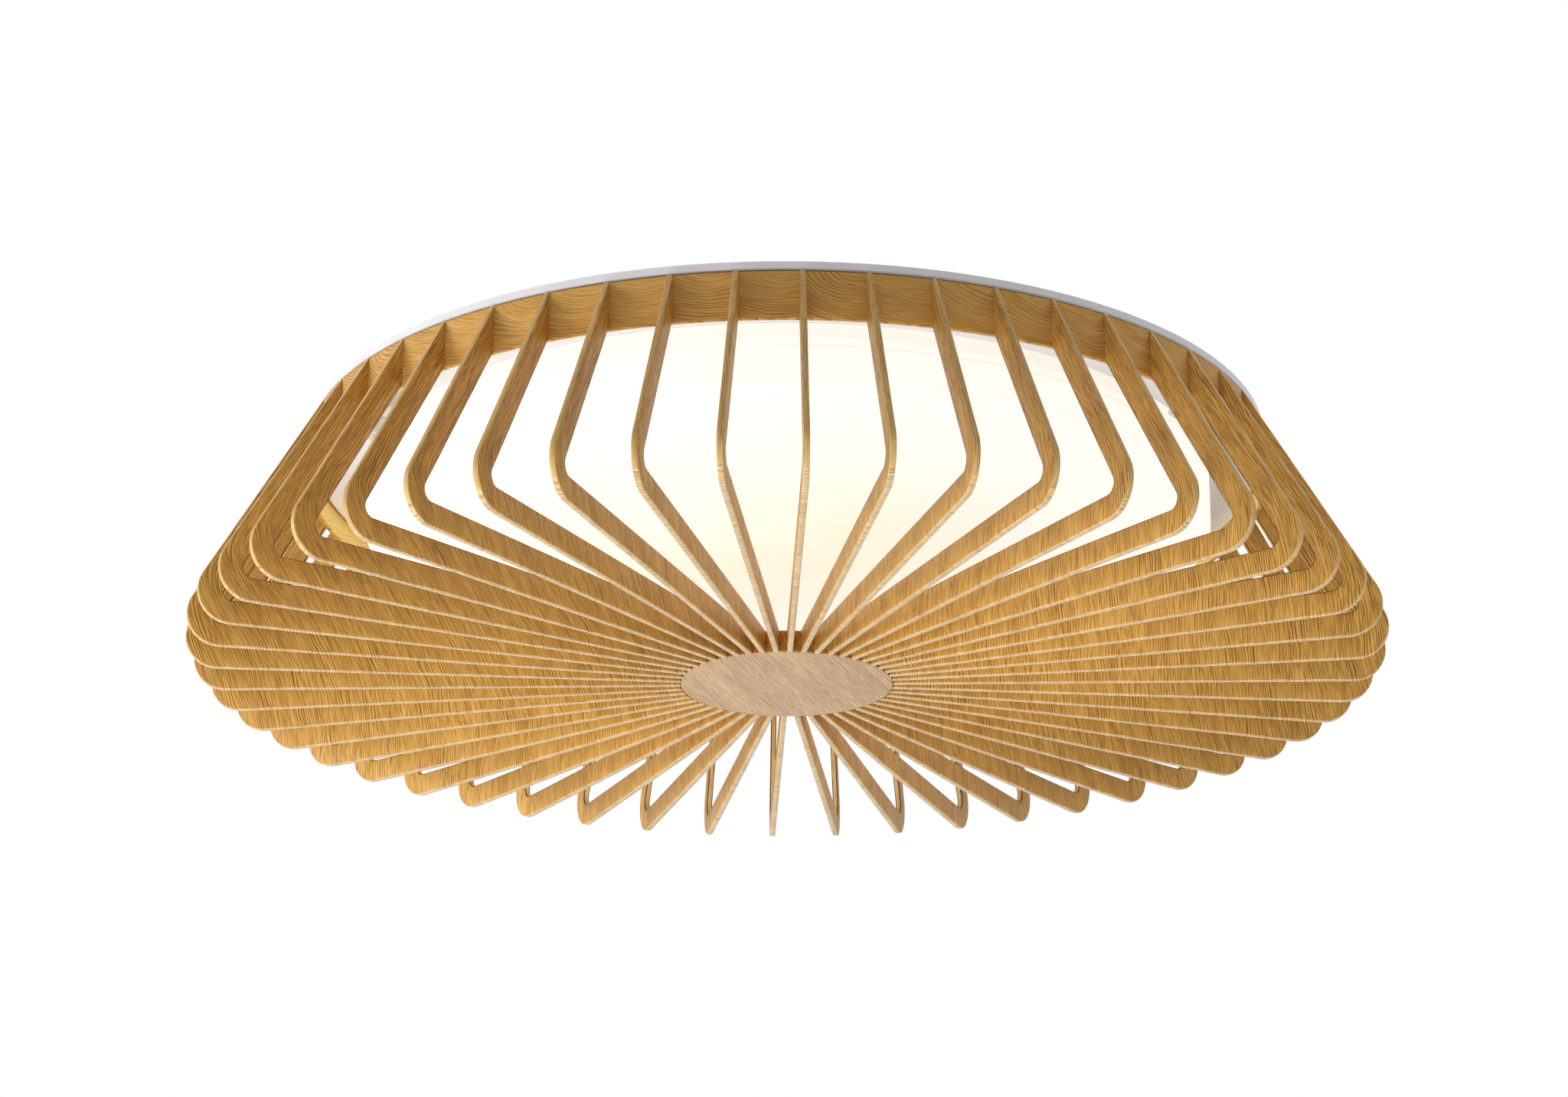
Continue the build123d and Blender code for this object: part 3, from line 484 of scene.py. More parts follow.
# The paler, pinker tones of the undersides are painted light; this mask places them
def facing_down(tree):
    """0 where a surface faces sideways or up, 1 where it faces the floor."""
    coordinates = tree.nodes.new("ShaderNodeTexCoord")
    turn = vector_node(tree, "DOT_PRODUCT", coordinates.outputs["Normal"], (0.0, 0.0, -1.0))
    return remap(tree, turn, TURN_STARTS, TURN_ENDS)


level_angle = math.degrees(math.acos(TURN_ENDS))
print("an underside is a surface less than", round(level_angle), "degrees off level")

# %% [markdown]
# Satin lacquer on oak is smooth between the pores and dull in them, and the pores are tiny
# hollows. They could be cut into the mesh, but they are finer than a tenth of a millimetre, so a
# bump and a rougher line show them. As a surface turns to face the floor, its tones go over to
# those of the undersides, which are painted light: paler and pinker, as light from below falls on
# them.

# %% Oak surface
PORE_ROUGHNESS = 0.2
OAK_BUMP, OAK_BUMP_DEPTH = 0.35, 0.2 * MM
LACQUER_SPECULAR = 0.2


def oak_surface(
        tree, shader, grain, tones, roughness, line_strength, undersides=None, settings=None,
        gap_shadow_mask=None, inside=None):
    """Lacquered oak: tones are the light colour, the middle colour and the colour of the lines."""
    figure = add_node(tree, "ShaderNodeGroup", {
        "Place": grain[0], "Ring": grain[1], **(settings or {})}, node_tree=oak_figure)
    light, middle, line = tones
    # Painted light: surfaces that face the floor take the paler, pinker underside tones
    if undersides:
        down = facing_down(tree)
        light, middle, line = [blend_colours(tree, down, *pair) for pair in zip(tones, undersides)]
    inked = math_node(tree, "MULTIPLY", figure.outputs["Lines"], line_strength)
    # Painted light: the inner side takes the golden tones of the drum's light
    if inside:
        pairs = zip((light, middle, line), PAINTED_DRUM_LIGHT)
        light, middle, line = [blend_colours(tree, inside, *pair) for pair in pairs]
    ground = blend_colours(tree, figure.outputs["Tone"], middle, light)
    colour = blend_colours(tree, inked, ground, line)
    # Painted shade: a dark line laid over the colour
    if gap_shadow_mask:
        colour = blend_colours(tree, gap_shadow_mask, colour, PAINTED_SHADE_LINE[1])
    dull = remap(tree, figure.outputs["Lines"], 0.0, 1.0, roughness, roughness + PORE_ROUGHNESS)
    dress_shader(
        tree, shader, colour, dull, figure.outputs["Height"], OAK_BUMP, OAK_BUMP_DEPTH)
    shader.inputs["Specular IOR Level"].default_value = LACQUER_SPECULAR


print("pores are", OAK_BUMP_DEPTH / MM, "mm deep at most")

# %% [markdown]
# The narrow edge of a fin is covered by a strip of veneer. On the upper leg its lines run along
# the edge, and under the lower leg the lines of the board seem to cross it. A second set of
# materials could do that, but one edge runs through both legs without a seam. So the ring count
# itself changes over where the edge turns to face the floor.

# %% Banding
BANDING_LINES, BANDING_WAVE, BANDING_WAVE_SIZE = 1.5, 3.0, 30.0


def banded_edge(tree, grain):
    """Along the edge on the upper leg, and across it with the board's own lines below."""
    along = math_node(tree, "MULTIPLY", attribute_value(tree, "across"), BANDING_LINES)
    place = scaled(tree, grain[0], 1 / BANDING_WAVE_SIZE)
    slow = add_node(tree, "ShaderNodeTexNoise", {"Vector": place, "Scale": 1.0})
    wave = math_node(tree, "MULTIPLY", slow.outputs["Fac"], BANDING_WAVE)
    along = math_node(tree, "ADD", along, wave)
    below = math_node(tree, "GREATER_THAN", facing_down(tree), 0.5)
    crossing = math_node(tree, "SUBTRACT", grain[1], along)
    return grain[0], math_node(tree, "ADD", along, math_node(tree, "MULTIPLY", below, crossing))


print("banding repeats its lines every", round(1 / BANDING_LINES, 2), "line spacings")

# %% [markdown]
# Four finishes come out of the recipe: the broad faces of the fins, their banded edges, the thin
# dark line of painted shade where face and banding meet on the inner side, and the disc. A picture
# of each would do from one side only. The disc is sawn from the log, with finer, straighter and
# longer lines than the fins.

# %% Fin and disc finishes
DISC_FIGURE = {
    "Line Spacing": 1.55, "Line Length": 30.0, "Line Width": 0.34, "Pores": 0.3, "Unevenness": 1.4}
DISC_WAVER = 2.0


def fin_oak(name, tones, roughness=0.42, line_strength=1.0, undersides=None, banded=False):
    """A finish for the fins."""
    material, tree, shader = start_material(name)
    grain = bent_board(tree)
    if banded:
        grain = banded_edge(tree, grain)
    oak_surface(tree, shader, grain, tones, roughness, line_strength, undersides)
    return material


def disc_oak(name, tones, undersides):
    """A finish for the disc, which is sawn from the log."""
    material, tree, shader = start_material(name)
    grain = sawn_from_log(tree, DISC_WAVER)
    oak_surface(
        tree, shader, grain, tones, roughness=0.5, line_strength=0.85, undersides=undersides,
        settings=DISC_FIGURE)
    return material


oak_face = fin_oak("oak_face", GOLDEN)
# The edges' lighter tones are a painted highlight
oak_edge = fin_oak(
    "oak_edge", EDGE_TONES_WITH_HIGHLIGHT, roughness=0.3, line_strength=0.8, undersides=PAINTED_UNDERSIDE_LIGHT, banded=True)
# A thin line of painted shade along the inner edges of the fins
oak_line = fin_oak("oak_line", PAINTED_SHADE_LINE, roughness=0.5)
oak_disc = disc_oak("oak_disc", SHADED, DISC_PAINTED_UNDERSIDE_LIGHT)
print("oak finishes", [m.name for m in (oak_face, oak_edge, oak_line, oak_disc)])

# %% [markdown]
# ## A fin
#
# A fin is cut from thin board. It starts at the band, leans outwards on its way down, turns a
# round corner and runs in to the disc, where a tongue enters a mortise. It could be a box that is
# bent, but the real one is cut, so its outline is drawn in the XZ plane, as a chain of vertices,
# and then given its thickness. A spin of the last vertex draws each round corner, because a spin
# gives a true arc at any angle, where a bevel of a vertex doesn't.

# %% Fin outline
def draw_point(bm, last, x, z):
    """A new vertex, joined to the last one by an edge."""
    vertex = bm.verts.new((x, 0, z))
    if last:
        bm.edges.new((last, vertex))
    return vertex


def draw_arc(bm, last, centre, angle):
    """An arc from the last vertex round a centre."""
    result = bmesh.ops.spin(
        bm, geom=[last], cent=(centre[0], 0, centre[1]), axis=(0, 1, 0), angle=angle,
        steps=CORNER_STEPS)
    return [item for item in result["geom_last"] if isinstance(item, bmesh.types.BMVert)][0]


def fin_outline(bm):
    """Draws the closed outline of a fin."""
    reach = 1 / math.tan(corner_angle / 2)
    along = Vector((math.sin(lean), -math.cos(lean)))
    tip = Vector((FIN_TIP_RADIUS, CAGE_BOTTOM))
    crook = Vector((BAND_RADIUS + (BAND_BOTTOM - LOWER_LEG_TOP) * math.tan(lean), LOWER_LEG_TOP))
    outer_start = tip - along * OUTER_CORNER * reach
    outer_centre = Vector((tip.x - OUTER_CORNER * reach, tip.y + OUTER_CORNER))
    inner_start = crook - Vector((1, 0)) * INNER_CORNER * reach
    inner_centre = Vector((inner_start.x, inner_start.y + INNER_CORNER))
    tongue_end = DISC_RADIUS - TONGUE_LENGTH
    tongue_middle = (CAGE_BOTTOM + LOWER_LEG_TOP) / 2
    tongue_low, tongue_high = tongue_middle - TONGUE_HEIGHT / 2, tongue_middle + TONGUE_HEIGHT / 2
    sweep = math.pi - corner_angle

    first = last = draw_point(bm, None, BAND_RADIUS, BAND_BOTTOM)
    last = draw_point(bm, last, BAND_RADIUS, BAND_TOP)
    last = draw_point(bm, last, *outer_start)
    last = draw_arc(bm, last, outer_centre, sweep)
    for x, z in (
        (DISC_RADIUS, CAGE_BOTTOM), (DISC_RADIUS, tongue_low), (tongue_end, tongue_low),
        (tongue_end, tongue_high), (DISC_RADIUS, tongue_high), (DISC_RADIUS, LOWER_LEG_TOP),
        tuple(inner_start),
    ):
        last = draw_point(bm, last, x, z)
    last = draw_arc(bm, last, inner_centre, -sweep)
    bm.edges.new((last, first))


print("corners of the fin", round(OUTER_CORNER / MM, 1), "and", round(INNER_CORNER / MM, 1), "mm")

# %% [markdown]
# The outline becomes a board: a face fills it, an extrusion gives it its thickness, and a bevel
# eases every edge round the rim, as sandpaper does. The eased edge is what catches the light.

# %% Fin board
EASING_STEPS = 2


def fin_board():
    """One fin as a bmesh: the outline filled, given its thickness, and eased along its edges."""
    bm = bmesh.new()
    fin_outline(bm)
    bmesh.ops.contextual_create(bm, geom=bm.edges[:])
    grown = bmesh.ops.extrude_face_region(bm, geom=bm.faces[:])
    moved = [item for item in grown["geom"] if isinstance(item, bmesh.types.BMVert)]
    bmesh.ops.translate(bm, verts=moved, vec=(0, FIN_THICKNESS, 0))
    bmesh.ops.translate(bm, verts=bm.verts[:], vec=(0, -FIN_THICKNESS / 2, 0))
    bmesh.ops.recalc_face_normals(bm, faces=bm.faces[:])
    # The edges to ease run round the two broad faces, and don't cross from one to the other
    rims = [e for e in bm.edges if abs(e.verts[0].co.y - e.verts[1].co.y) < EDGE_ROUNDING / 10]
    bmesh.ops.bevel(
        bm, geom=rims, affect="EDGES", offset=EDGE_ROUNDING, offset_type="OFFSET",
        segments=EASING_STEPS, profile=0.5, material=-1, clamp_overlap=True)
    return bm


fin = fin_board()
print("a fin has", len(fin.verts), "vertices and", len(fin.faces), "faces")

# %% [markdown]
# Fins and band hang together on the shade, and each stands for a node of the frame. One helper
# turns a mesh into such an object: it rides on the body that MuJoCo moves, hides the plain solid
# and takes its materials. Copying these lines for each piece would do the same, and invite
# mistakes.

# %% Oak pieces on the shade
def oak_piece(name, bm, materials, replaced):
    """Turns a bmesh into an object on the shade, in the place of a node of the frame."""
    mesh = bpy.data.meshes.new(name)
    bm.to_mesh(mesh)
    bm.free()
    for material in materials:
        mesh.materials.append(material)
    piece = bpy.data.objects.new(name, mesh)
    bpy.context.scene.collection.objects.link(piece)
    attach(piece, "shade")
    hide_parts(*replaced)
    return piece


print("the shade is", round((band_high.x - band_low.x) / MM, 1), "mm wide at its band")

# %% [markdown]
# The slant of the grain on a fin's lower leg was read from the photograph at a few turns round
# the lamp. A formula could join them, but a short list of turns and slants is easier to read and
# to change. Between two turns of the list the slant goes over evenly.

# %% Slant of the grain
SLANTS = (
    (-180, 0.0), (-130, 0.08), (-90, 0.38), (-45, 0.8), (0, 0.2), (50, 0.0), (90, 0.0), (135, -0.3),
    (180, 0.0))


def slant_at(place):
    """How far the grain of a fin leans on its lower leg, read between the turns in the list."""
    turn = (FIRST_FIN_AZIMUTH + 360 / FIN_COUNT * place + 180) % 360 - 180
    for (low, first), (high, second) in zip(SLANTS, SLANTS[1:]):
        if low <= turn <= high:
            return first + (second - first) * (turn - low) / (high - low)


print("slant of the first fin", round(slant_at(0), 3))

# %% [markdown]
# The other fins are copies of the first, turned about the lamp's axis. An Array modifier could
# turn them, but each fin needs its own attributes, so the copies are made one by one. The frame
# holds them in opposite pairs, so each pair becomes one object. Every fin carries its board's
# number: the grain reads it and cuts each fin from another stretch of the tree.

# %% A pair of fins
FACE_SLOT, EDGE_SLOT, LINE_SLOT = 0, 1, 2
LAMP_MIDDLE = Vector((0, 0, -50 * MM))
FLAT_FACE, EASED_EDGE = 0.99, 0.1


def fin_pair(index):
    """Two opposite fins as one bmesh."""
    bm = bmesh.new()
    number = bm.verts.layers.float.new("fin_number")
    thickness = bm.verts.layers.float.new("across")
    slant = bm.verts.layers.float.new("slant")
    for half in (0, 1):
        place = index + half * FIN_COUNT // 2
        azimuth = math.radians(FIRST_FIN_AZIMUTH + 360 / FIN_COUNT * place - 90)
        copy = bpy.data.meshes.new("copy")
        fin.to_mesh(copy)
        copy.transform(Matrix.Rotation(azimuth, 4, "Z"))
        before, before_faces = len(bm.verts), len(bm.faces)
        bm.from_mesh(copy)
        bpy.data.meshes.remove(copy)
        bm.verts.ensure_lookup_table()
        bm.faces.ensure_lookup_table()
        across = Vector((-math.sin(azimuth), math.cos(azimuth), 0))
        for vertex in bm.verts[before:]:
            vertex[number] = board_numbers[place]
            vertex[thickness] = vertex.co.dot(across) / MM
            vertex[slant] = slant_at(place)
        for face in bm.faces[before_faces:]:
            sideways = abs(face.normal.dot(across))
            middle = face.calc_center_median()
            inner = face.normal.dot(LAMP_MIDDLE - middle) > 0 and middle.z < BAND_BOTTOM
            if sideways > FLAT_FACE:
                face.material_index = FACE_SLOT
            # Painted shade: the eased edges on the inner side get the dark line
            elif sideways > EASED_EDGE and inner:
                face.material_index = LINE_SLOT
            else:
                face.material_index = EDGE_SLOT
            face.smooth = True
    return bm


random.seed(12)
board_numbers = [random.uniform(-1, 1) for _ in range(FIN_COUNT)]
print("boards from", round(min(board_numbers), 2), "to", round(max(board_numbers), 2))

# %% [markdown]
# Twenty-five pairs make the cage. Their faces are shaded smooth, so that the eased edges look
# round. The ends and the tongue would look soft too, so corners of more than fifty degrees are
# marked as sharp.

# %% All fins
SHARP_ANGLE = math.radians(50)

for index in range(FIN_COUNT // 2):
    number = f"{index + 1:02d}"
    pair = oak_piece(
        f"oak_fins_{number}", fin_pair(index), [oak_face, oak_edge, oak_line],
        [f"fin_pair_{number}"])
    pair.data.set_sharp_from_angle(angle=SHARP_ANGLE)
fin.free()
print("fins made:", FIN_COUNT)

# %% [markdown]
# ## The band
#
# The band is a ring of bent board behind the fins. It could be a tube with a thick wall, but its
# corners are eased. So its section is drawn, a small rectangle with eased corners, and spun once
# round the axis. The spin has many steps, because the long rim of the band shows against the
# white pan and any facet would show there.

# %% Band ring
BAND_THICKNESS = 3.0 * MM
BAND_ROUNDING = 0.4 * MM
ROUND_STEPS = 240
MERGE_DISTANCE = 0.01 * MM


def ring_from_section(corners, rounding):
    """Spins a section, given as radius and height, once round the lamp's axis."""
    bm = bmesh.new()
    section = [bm.verts.new((x, 0, z)) for x, z in corners]
    edges = [bm.edges.new(pair) for pair in zip(section, section[1:] + section[:1])]
    bmesh.ops.bevel(
        bm, geom=section + edges, affect="VERTICES", offset=rounding, offset_type="OFFSET",
        segments=3, profile=0.5, material=-1)
    bmesh.ops.spin(
        bm, geom=bm.verts[:] + bm.edges[:], cent=(0, 0, 0), axis=(0, 0, 1), angle=math.tau,
        steps=ROUND_STEPS, use_merge=True)
    bmesh.ops.remove_doubles(bm, verts=bm.verts[:], dist=MERGE_DISTANCE)
    bmesh.ops.recalc_face_normals(bm, faces=bm.faces[:])
    for face in bm.faces:
        face.smooth = True
    return bm


band_corners = [
    (BAND_RADIUS - BAND_THICKNESS, BAND_BOTTOM), (BAND_RADIUS, BAND_BOTTOM),
    (BAND_RADIUS, BAND_TOP), (BAND_RADIUS - BAND_THICKNESS, BAND_TOP),
]
band_bm = ring_from_section(band_corners, BAND_ROUNDING)
print("band faces", len(band_bm.faces))

# %% [markdown]
# The veneer runs round the band, so its grain needs coordinates that follow the ring. Blender's
# own unwrap would cut the ring where it likes. The map is written face by face instead, and each
# face counts from its own middle, so that no face is torn where the turn starts again.

# %% Unrolled map
def unroll(bm, radius, name):
    """Writes a map that lies flat along a ring: metres round it, and metres up."""
    flat = bm.loops.layers.uv.new(name)
    for face in bm.faces:
        middle = face.calc_center_median()
        start = math.atan2(middle.x, -middle.y)
        for loop in face.loops:
            place = loop.vert.co
            turn = math.atan2(place.x, -place.y) - start
            turn = (turn + math.pi) % math.tau - math.pi
            loop[flat].uv = (radius * (start + turn), place.z)


unroll(band_bm, BAND_RADIUS, "unrolled")
print("the band is", round(math.tau * BAND_RADIUS / MM), "mm long when unrolled")

# %% [markdown]
# The veneer on the band is cut almost along the rings, so it shows arches instead of lines. The
# log of the disc could give them, but on the real band they start again in each space between two
# fins, and the joints lie behind the fins. So the shader counts the spaces along the unrolled
# map, and sets the heart of the arches in each one a little differently, up and to the right.

# %% Arched grain
ARCH_WAVE_SIZE, ARCH_WAVE_DEPTH = 30.0, 5.0
ARCH_RIPPLE_SIZE, ARCH_RIPPLE_DEPTH = 6.0, 0.6
ARCH_SQUASH = (0.62, 1.0, 0.0)
SHEETS_APART = 31.0
# The heart of the arches, in millimetres to the right of a sheet's middle and above its edge
HEART_ALONG, HEART_ABOVE = (3.0, 16.0), (1.0, 14.0)


def arched_grain(tree):
    """Grain coordinates of the band: every space between two fins has its own arches."""
    flat = add_node(tree, "ShaderNodeUVMap", uv_map="unrolled")
    place = scaled(tree, flat.outputs["UV"], 1 / MM)
    apart = add_node(tree, "ShaderNodeSeparateXYZ", {0: place})
    pitch = math.tau * BAND_RADIUS / FIN_COUNT / MM
    start = math.radians(FIRST_FIN_AZIMUTH) * BAND_RADIUS / MM
    along = math_node(tree, "SUBTRACT", apart.outputs["X"], start)
    sheet = math_node(tree, "FLOOR", math_node(tree, "DIVIDE", along, pitch))
    chance = add_node(tree, "ShaderNodeTexWhiteNoise", {"W": sheet}, noise_dimensions="1D")
    chances = add_node(tree, "ShaderNodeSeparateColor", {0: chance.outputs["Color"]})
    sheet_middle = math_node(tree, "MULTIPLY", math_node(tree, "ADD", sheet, 0.5), pitch)
    in_sheet = math_node(tree, "SUBTRACT", along, sheet_middle)
    heart_along = remap(tree, chances.outputs[0], 0.0, 1.0, *HEART_ALONG)
    heights = [BAND_TOP / MM + above for above in HEART_ABOVE]
    heart_up = remap(tree, chances.outputs[1], 0.0, 1.0, *heights)
    across = math_node(tree, "SUBTRACT", in_sheet, heart_along)
    upwards = math_node(tree, "SUBTRACT", apart.outputs["Y"], heart_up)
    shifted = add_node(tree, "ShaderNodeCombineXYZ", {
        "X": across, "Y": upwards, "Z": math_node(tree, "MULTIPLY", sheet, SHEETS_APART)})
    bent = wander(tree, shifted.outputs[0], ARCH_WAVE_SIZE, ARCH_WAVE_DEPTH)
    bent = wander(tree, bent, ARCH_RIPPLE_SIZE, ARCH_RIPPLE_DEPTH)
    arch = vector_node(tree, "MULTIPLY", bent, ARCH_SQUASH)
    return bent, vector_length(tree, arch)


print("a sheet of veneer is", round(math.tau * BAND_RADIUS / FIN_COUNT / MM, 1), "mm wide")

# %% [markdown]
# The band has a dark line of painted shadow along its upper edge, where the gap to the pan lies,
# and its inner side is painted golden, as the light of the drum falls on it. Both could be
# materials of their own on a few faces. Masks of height and of distance from the axis do it in one
# material, and stay soft where they end.

# %% Band finish
# Painted shadow: the top of the band darkens over these heights
GAP_SHADOW_STARTS, GAP_SHADOW_ENDS = BAND_TOP - 0.7 * MM, BAND_TOP - 0.4 * MM
# Painted light: within these distances from the axis the band takes the drum's golden light
INSIDE_STARTS, INSIDE_ENDS = BAND_RADIUS - 1.8 * MM, BAND_RADIUS - 2.2 * MM
BAND_FIGURE = {"Line Length": 26.0, "Line Spacing": 1.5, "Pores": 0.35}


def distance_from_axis(tree):
    """How far a point is from the lamp's axis."""
    level = vector_node(tree, "MULTIPLY", object_place(tree), (1.0, 1.0, 0.0))
    return vector_length(tree, level)


def veneered_oak(name, tones):
    """The band's finish, with painted shadow along its upper edge and painted drum light inside."""
    material, tree, shader = start_material(name)
    height = height_of(tree, object_place(tree))
    # Painted shadow along the top edge
    gap_shadow_mask = remap(tree, height, GAP_SHADOW_STARTS, GAP_SHADOW_ENDS)
    # Painted drum light on the inner side
    inside = remap(tree, distance_from_axis(tree), INSIDE_ENDS, INSIDE_STARTS, 1.0, 0.0)
    oak_surface(
        tree, shader, arched_grain(tree), tones, roughness=0.4, line_strength=0.62,
        settings=BAND_FIGURE, gap_shadow_mask=gap_shadow_mask, inside=inside)
    return material


oak_band = veneered_oak("oak_band", BAND_TONES)
band = oak_piece("oak_band_ring", band_bm, [oak_band], ["band"])
band.data.set_sharp_from_angle(angle=SHARP_ANGLE)
print("band finished with", oak_band.name)

# %% [markdown]
# ## Finishes for the pieces of the frame
#
# The other pieces keep their CAD shapes and only get a finish. One flat colour each would look
# like a drawing, because paint, plated steel and moulded plastic all vary a little over a surface.
# So a group gives them a slow change of tone, a change of gloss and a fine height. It is built
# once, and each finish takes it with its own values.

# %% Mottle group
MOTTLE_SCALE, MOTTLE_DETAIL = 40.0, 3.0
SPECK_SIZE, SPECK_DETAIL = 1.2 * MM, 2.0
GLOSS_SPREAD = 0.05


def build_mottle():
    """A place, a colour, its darker shade and a roughness in, and how they vary out."""
    group, start, end = new_group(
        "mottle",
        [("Place", "NodeSocketVector", None), ("Colour", "NodeSocketColor", None),
         ("Shade", "NodeSocketColor", None), ("Roughness", "NodeSocketFloat", 0.5)],
        [("Colour", "NodeSocketColor"), ("Roughness", "NodeSocketFloat"),
         ("Height", "NodeSocketFloat")])
    place = start.outputs["Place"]
    slow = add_node(group, "ShaderNodeTexNoise", {
        "Vector": place, "Scale": MOTTLE_SCALE, "Detail": MOTTLE_DETAIL})
    fine = add_node(group, "ShaderNodeTexNoise", {
        "Vector": place, "Scale": 1 / SPECK_SIZE, "Detail": SPECK_DETAIL})
    colour = blend_colours(
        group, slow.outputs["Fac"], start.outputs["Shade"], start.outputs["Colour"])
    height = fine.outputs["Fac"]
    spread = remap(group, height, 0.3, 0.7, -GLOSS_SPREAD, GLOSS_SPREAD)
    roughness = math_node(group, "ADD", start.outputs["Roughness"], spread)
    for label, value in (("Colour", colour), ("Roughness", roughness), ("Height", height)):
        group.links.new(value, end.inputs[label])
    return group


mottle_group = build_mottle()
print("mottle nodes", len(mottle_group.nodes))

# %% [markdown]
# White paint covers the metal that shows from the room, and zinc the fasteners. Plastics, brass
# and rubber have the colours that such parts have. Thirteen recipes could be written out, but they
# differ only in a few values, so these stand in a table.

# %% Plain finishes
SPECK_HEIGHT = 0.3 * MM


def plain_finish(name, colour, roughness, metallic=0.0, mottle=0.05, bump=0.05):
    """A finish with a mottle of tone and gloss, and a fine bump."""
    material, tree, shader = start_material(name)
    shade = tuple(channel * (1 - 2 * mottle) for channel in colour[:3]) + (1.0,)
    varied = add_node(tree, "ShaderNodeGroup", {
        "Place": object_place(tree), "Colour": colour, "Shade": shade, "Roughness": roughness},
        node_tree=mottle_group)
    values = [varied.outputs[label] for label in ("Colour", "Roughness", "Height")]
    dress_shader(tree, shader, *values, bump, SPECK_HEIGHT)
    shader.inputs["Metallic"].default_value = metallic
    return material


# A name, a colour, how rough, how metallic, how much mottle and how much bump
PLAIN_FINISHES = (
    ("white_paint", (242, 240, 243), 0.35, 0.0, 0.02, 0.05),
    ("zinc", (196, 198, 200), 0.3, 1.0, 0.06, 0.05),
    ("board_mask", (238, 238, 232), 0.4, 0.0, 0.02, 0.05),
    ("phosphor", (244, 214, 110), 0.5, 0.0, 0.06, 0.05),
    ("white_moulding", (228, 228, 224), 0.5, 0.0, 0.02, 0.15),
    ("green_mask", (40, 110, 62), 0.35, 0.0, 0.1, 0.05),
    ("black_moulding", (38, 38, 42), 0.45, 0.0, 0.1, 0.05),
    ("brass", (206, 170, 98), 0.25, 1.0, 0.06, 0.05),
    ("grommet_rubber", (48, 47, 46), 0.7, 0.0, 0.1, 0.2),
    ("brown_sleeve", (118, 72, 44), 0.4, 0.0, 0.05, 0.05),
    ("red_sleeve", (176, 36, 30), 0.4, 0.0, 0.05, 0.05),
    ("earth_sleeve", (112, 160, 60), 0.4, 0.0, 0.05, 0.05),
    ("white_wood", (232, 229, 224), 0.55, 0.0, 0.03, 0.2),
)
made = {"oak_disc": oak_disc}
for name, colour, *values in PLAIN_FINISHES:
    made[name] = plain_finish(name, srgb(*colour), *values)
print("plain finishes share", mottle_group.name, "with", mottle_group.users, "users")

# %% [markdown]
# ## The opal drum
#
# The drum is opal acrylic, lit from inside by a ring of small lamps. It glows most over that ring
# and a little less, and warmer, towards its middle. The top of its wall stands beside the board,
# above the lamps, and stays dull there, with a faint step where the collar ends behind it. Lamps
# inside a shell that scatters light would do the same, slowly and with noise. The light that
# leaves the drum is all that shows, so the glow is an emission whose colour follows the distance
# from the axis and the height.

# %% Opal drum
OPAL_BODY = (0.5, 0.49, 0.46, 1.0)
GLOW_MIDDLE = (0.75, 0.73, 0.59, 1.0)
GLOW_RIM = (0.74, 0.74, 0.70, 1.0)
DULL_WALL = (0.65, 0.64, 0.60, 1.0)
COLLAR_WALL = (0.71, 0.71, 0.67, 1.0)
STEP_LINE = (0.64, 0.63, 0.58, 1.0)
DULL_HEIGHT, COLLAR_HEIGHT = -24.5 * MM, -29.5 * MM
DULL_FADE, COLLAR_FADE = 2.0 * MM, 1.2 * MM
STEP_HALF_WIDTH, STEP_FADE_END = 0.2 * MM, 0.8 * MM
MIDDLE_RADIUS, RIM_RADIUS = 0.03, 0.15
CLOUD_SCALE, CLOUD_DEPTH = 9.0, 0.03


def opal_glow():
    """Lit opal acrylic."""
    material, tree, shader = start_material("opal")
    place = object_place(tree)
    rim = remap(tree, distance_from_axis(tree), MIDDLE_RADIUS, RIM_RADIUS)
    cloud = add_node(tree, "ShaderNodeTexNoise", {"Vector": place, "Scale": CLOUD_SCALE})
    cloudy = remap(tree, cloud.outputs["Fac"], 0.3, 0.7, -CLOUD_DEPTH, CLOUD_DEPTH)
    rim = math_node(tree, "ADD", rim, cloudy)
    height = height_of(tree, place)
    glow = blend_colours(tree, rim, GLOW_MIDDLE, GLOW_RIM)
    beside_collar = remap(tree, height, COLLAR_HEIGHT - COLLAR_FADE, COLLAR_HEIGHT)
    glow = blend_colours(tree, beside_collar, glow, COLLAR_WALL)
    beside_board = remap(tree, height, DULL_HEIGHT - DULL_FADE, DULL_HEIGHT)
    glow = blend_colours(tree, beside_board, glow, DULL_WALL)
    for step in (DULL_HEIGHT, COLLAR_HEIGHT):
        away = math_node(tree, "ABSOLUTE", math_node(tree, "SUBTRACT", height, step))
        near = remap(tree, away, STEP_HALF_WIDTH, STEP_FADE_END, 1.0, 0.0)
        glow = blend_colours(tree, near, glow, STEP_LINE)
    tree.links.new(glow, shader.inputs["Emission Color"])
    shader.inputs["Emission Strength"].default_value = 1.0
    shader.inputs["Base Color"].default_value = OPAL_BODY
    shader.inputs["Roughness"].default_value = 0.5
    shader.inputs["Specular IOR Level"].default_value = 0.1
    return material


made["opal"] = opal_glow()
print("opal material has", len(made["opal"].node_tree.nodes), "nodes")

# %% [markdown]
# ## Finishing the frame
#
# Each node of the frame now gets its finish. A node could be copied and joined with others of its
# material, but its mesh has to stay as it is, so only its material slot changes. What no line of
# the list names is a screw, a stud or a strap, and is plated with zinc.

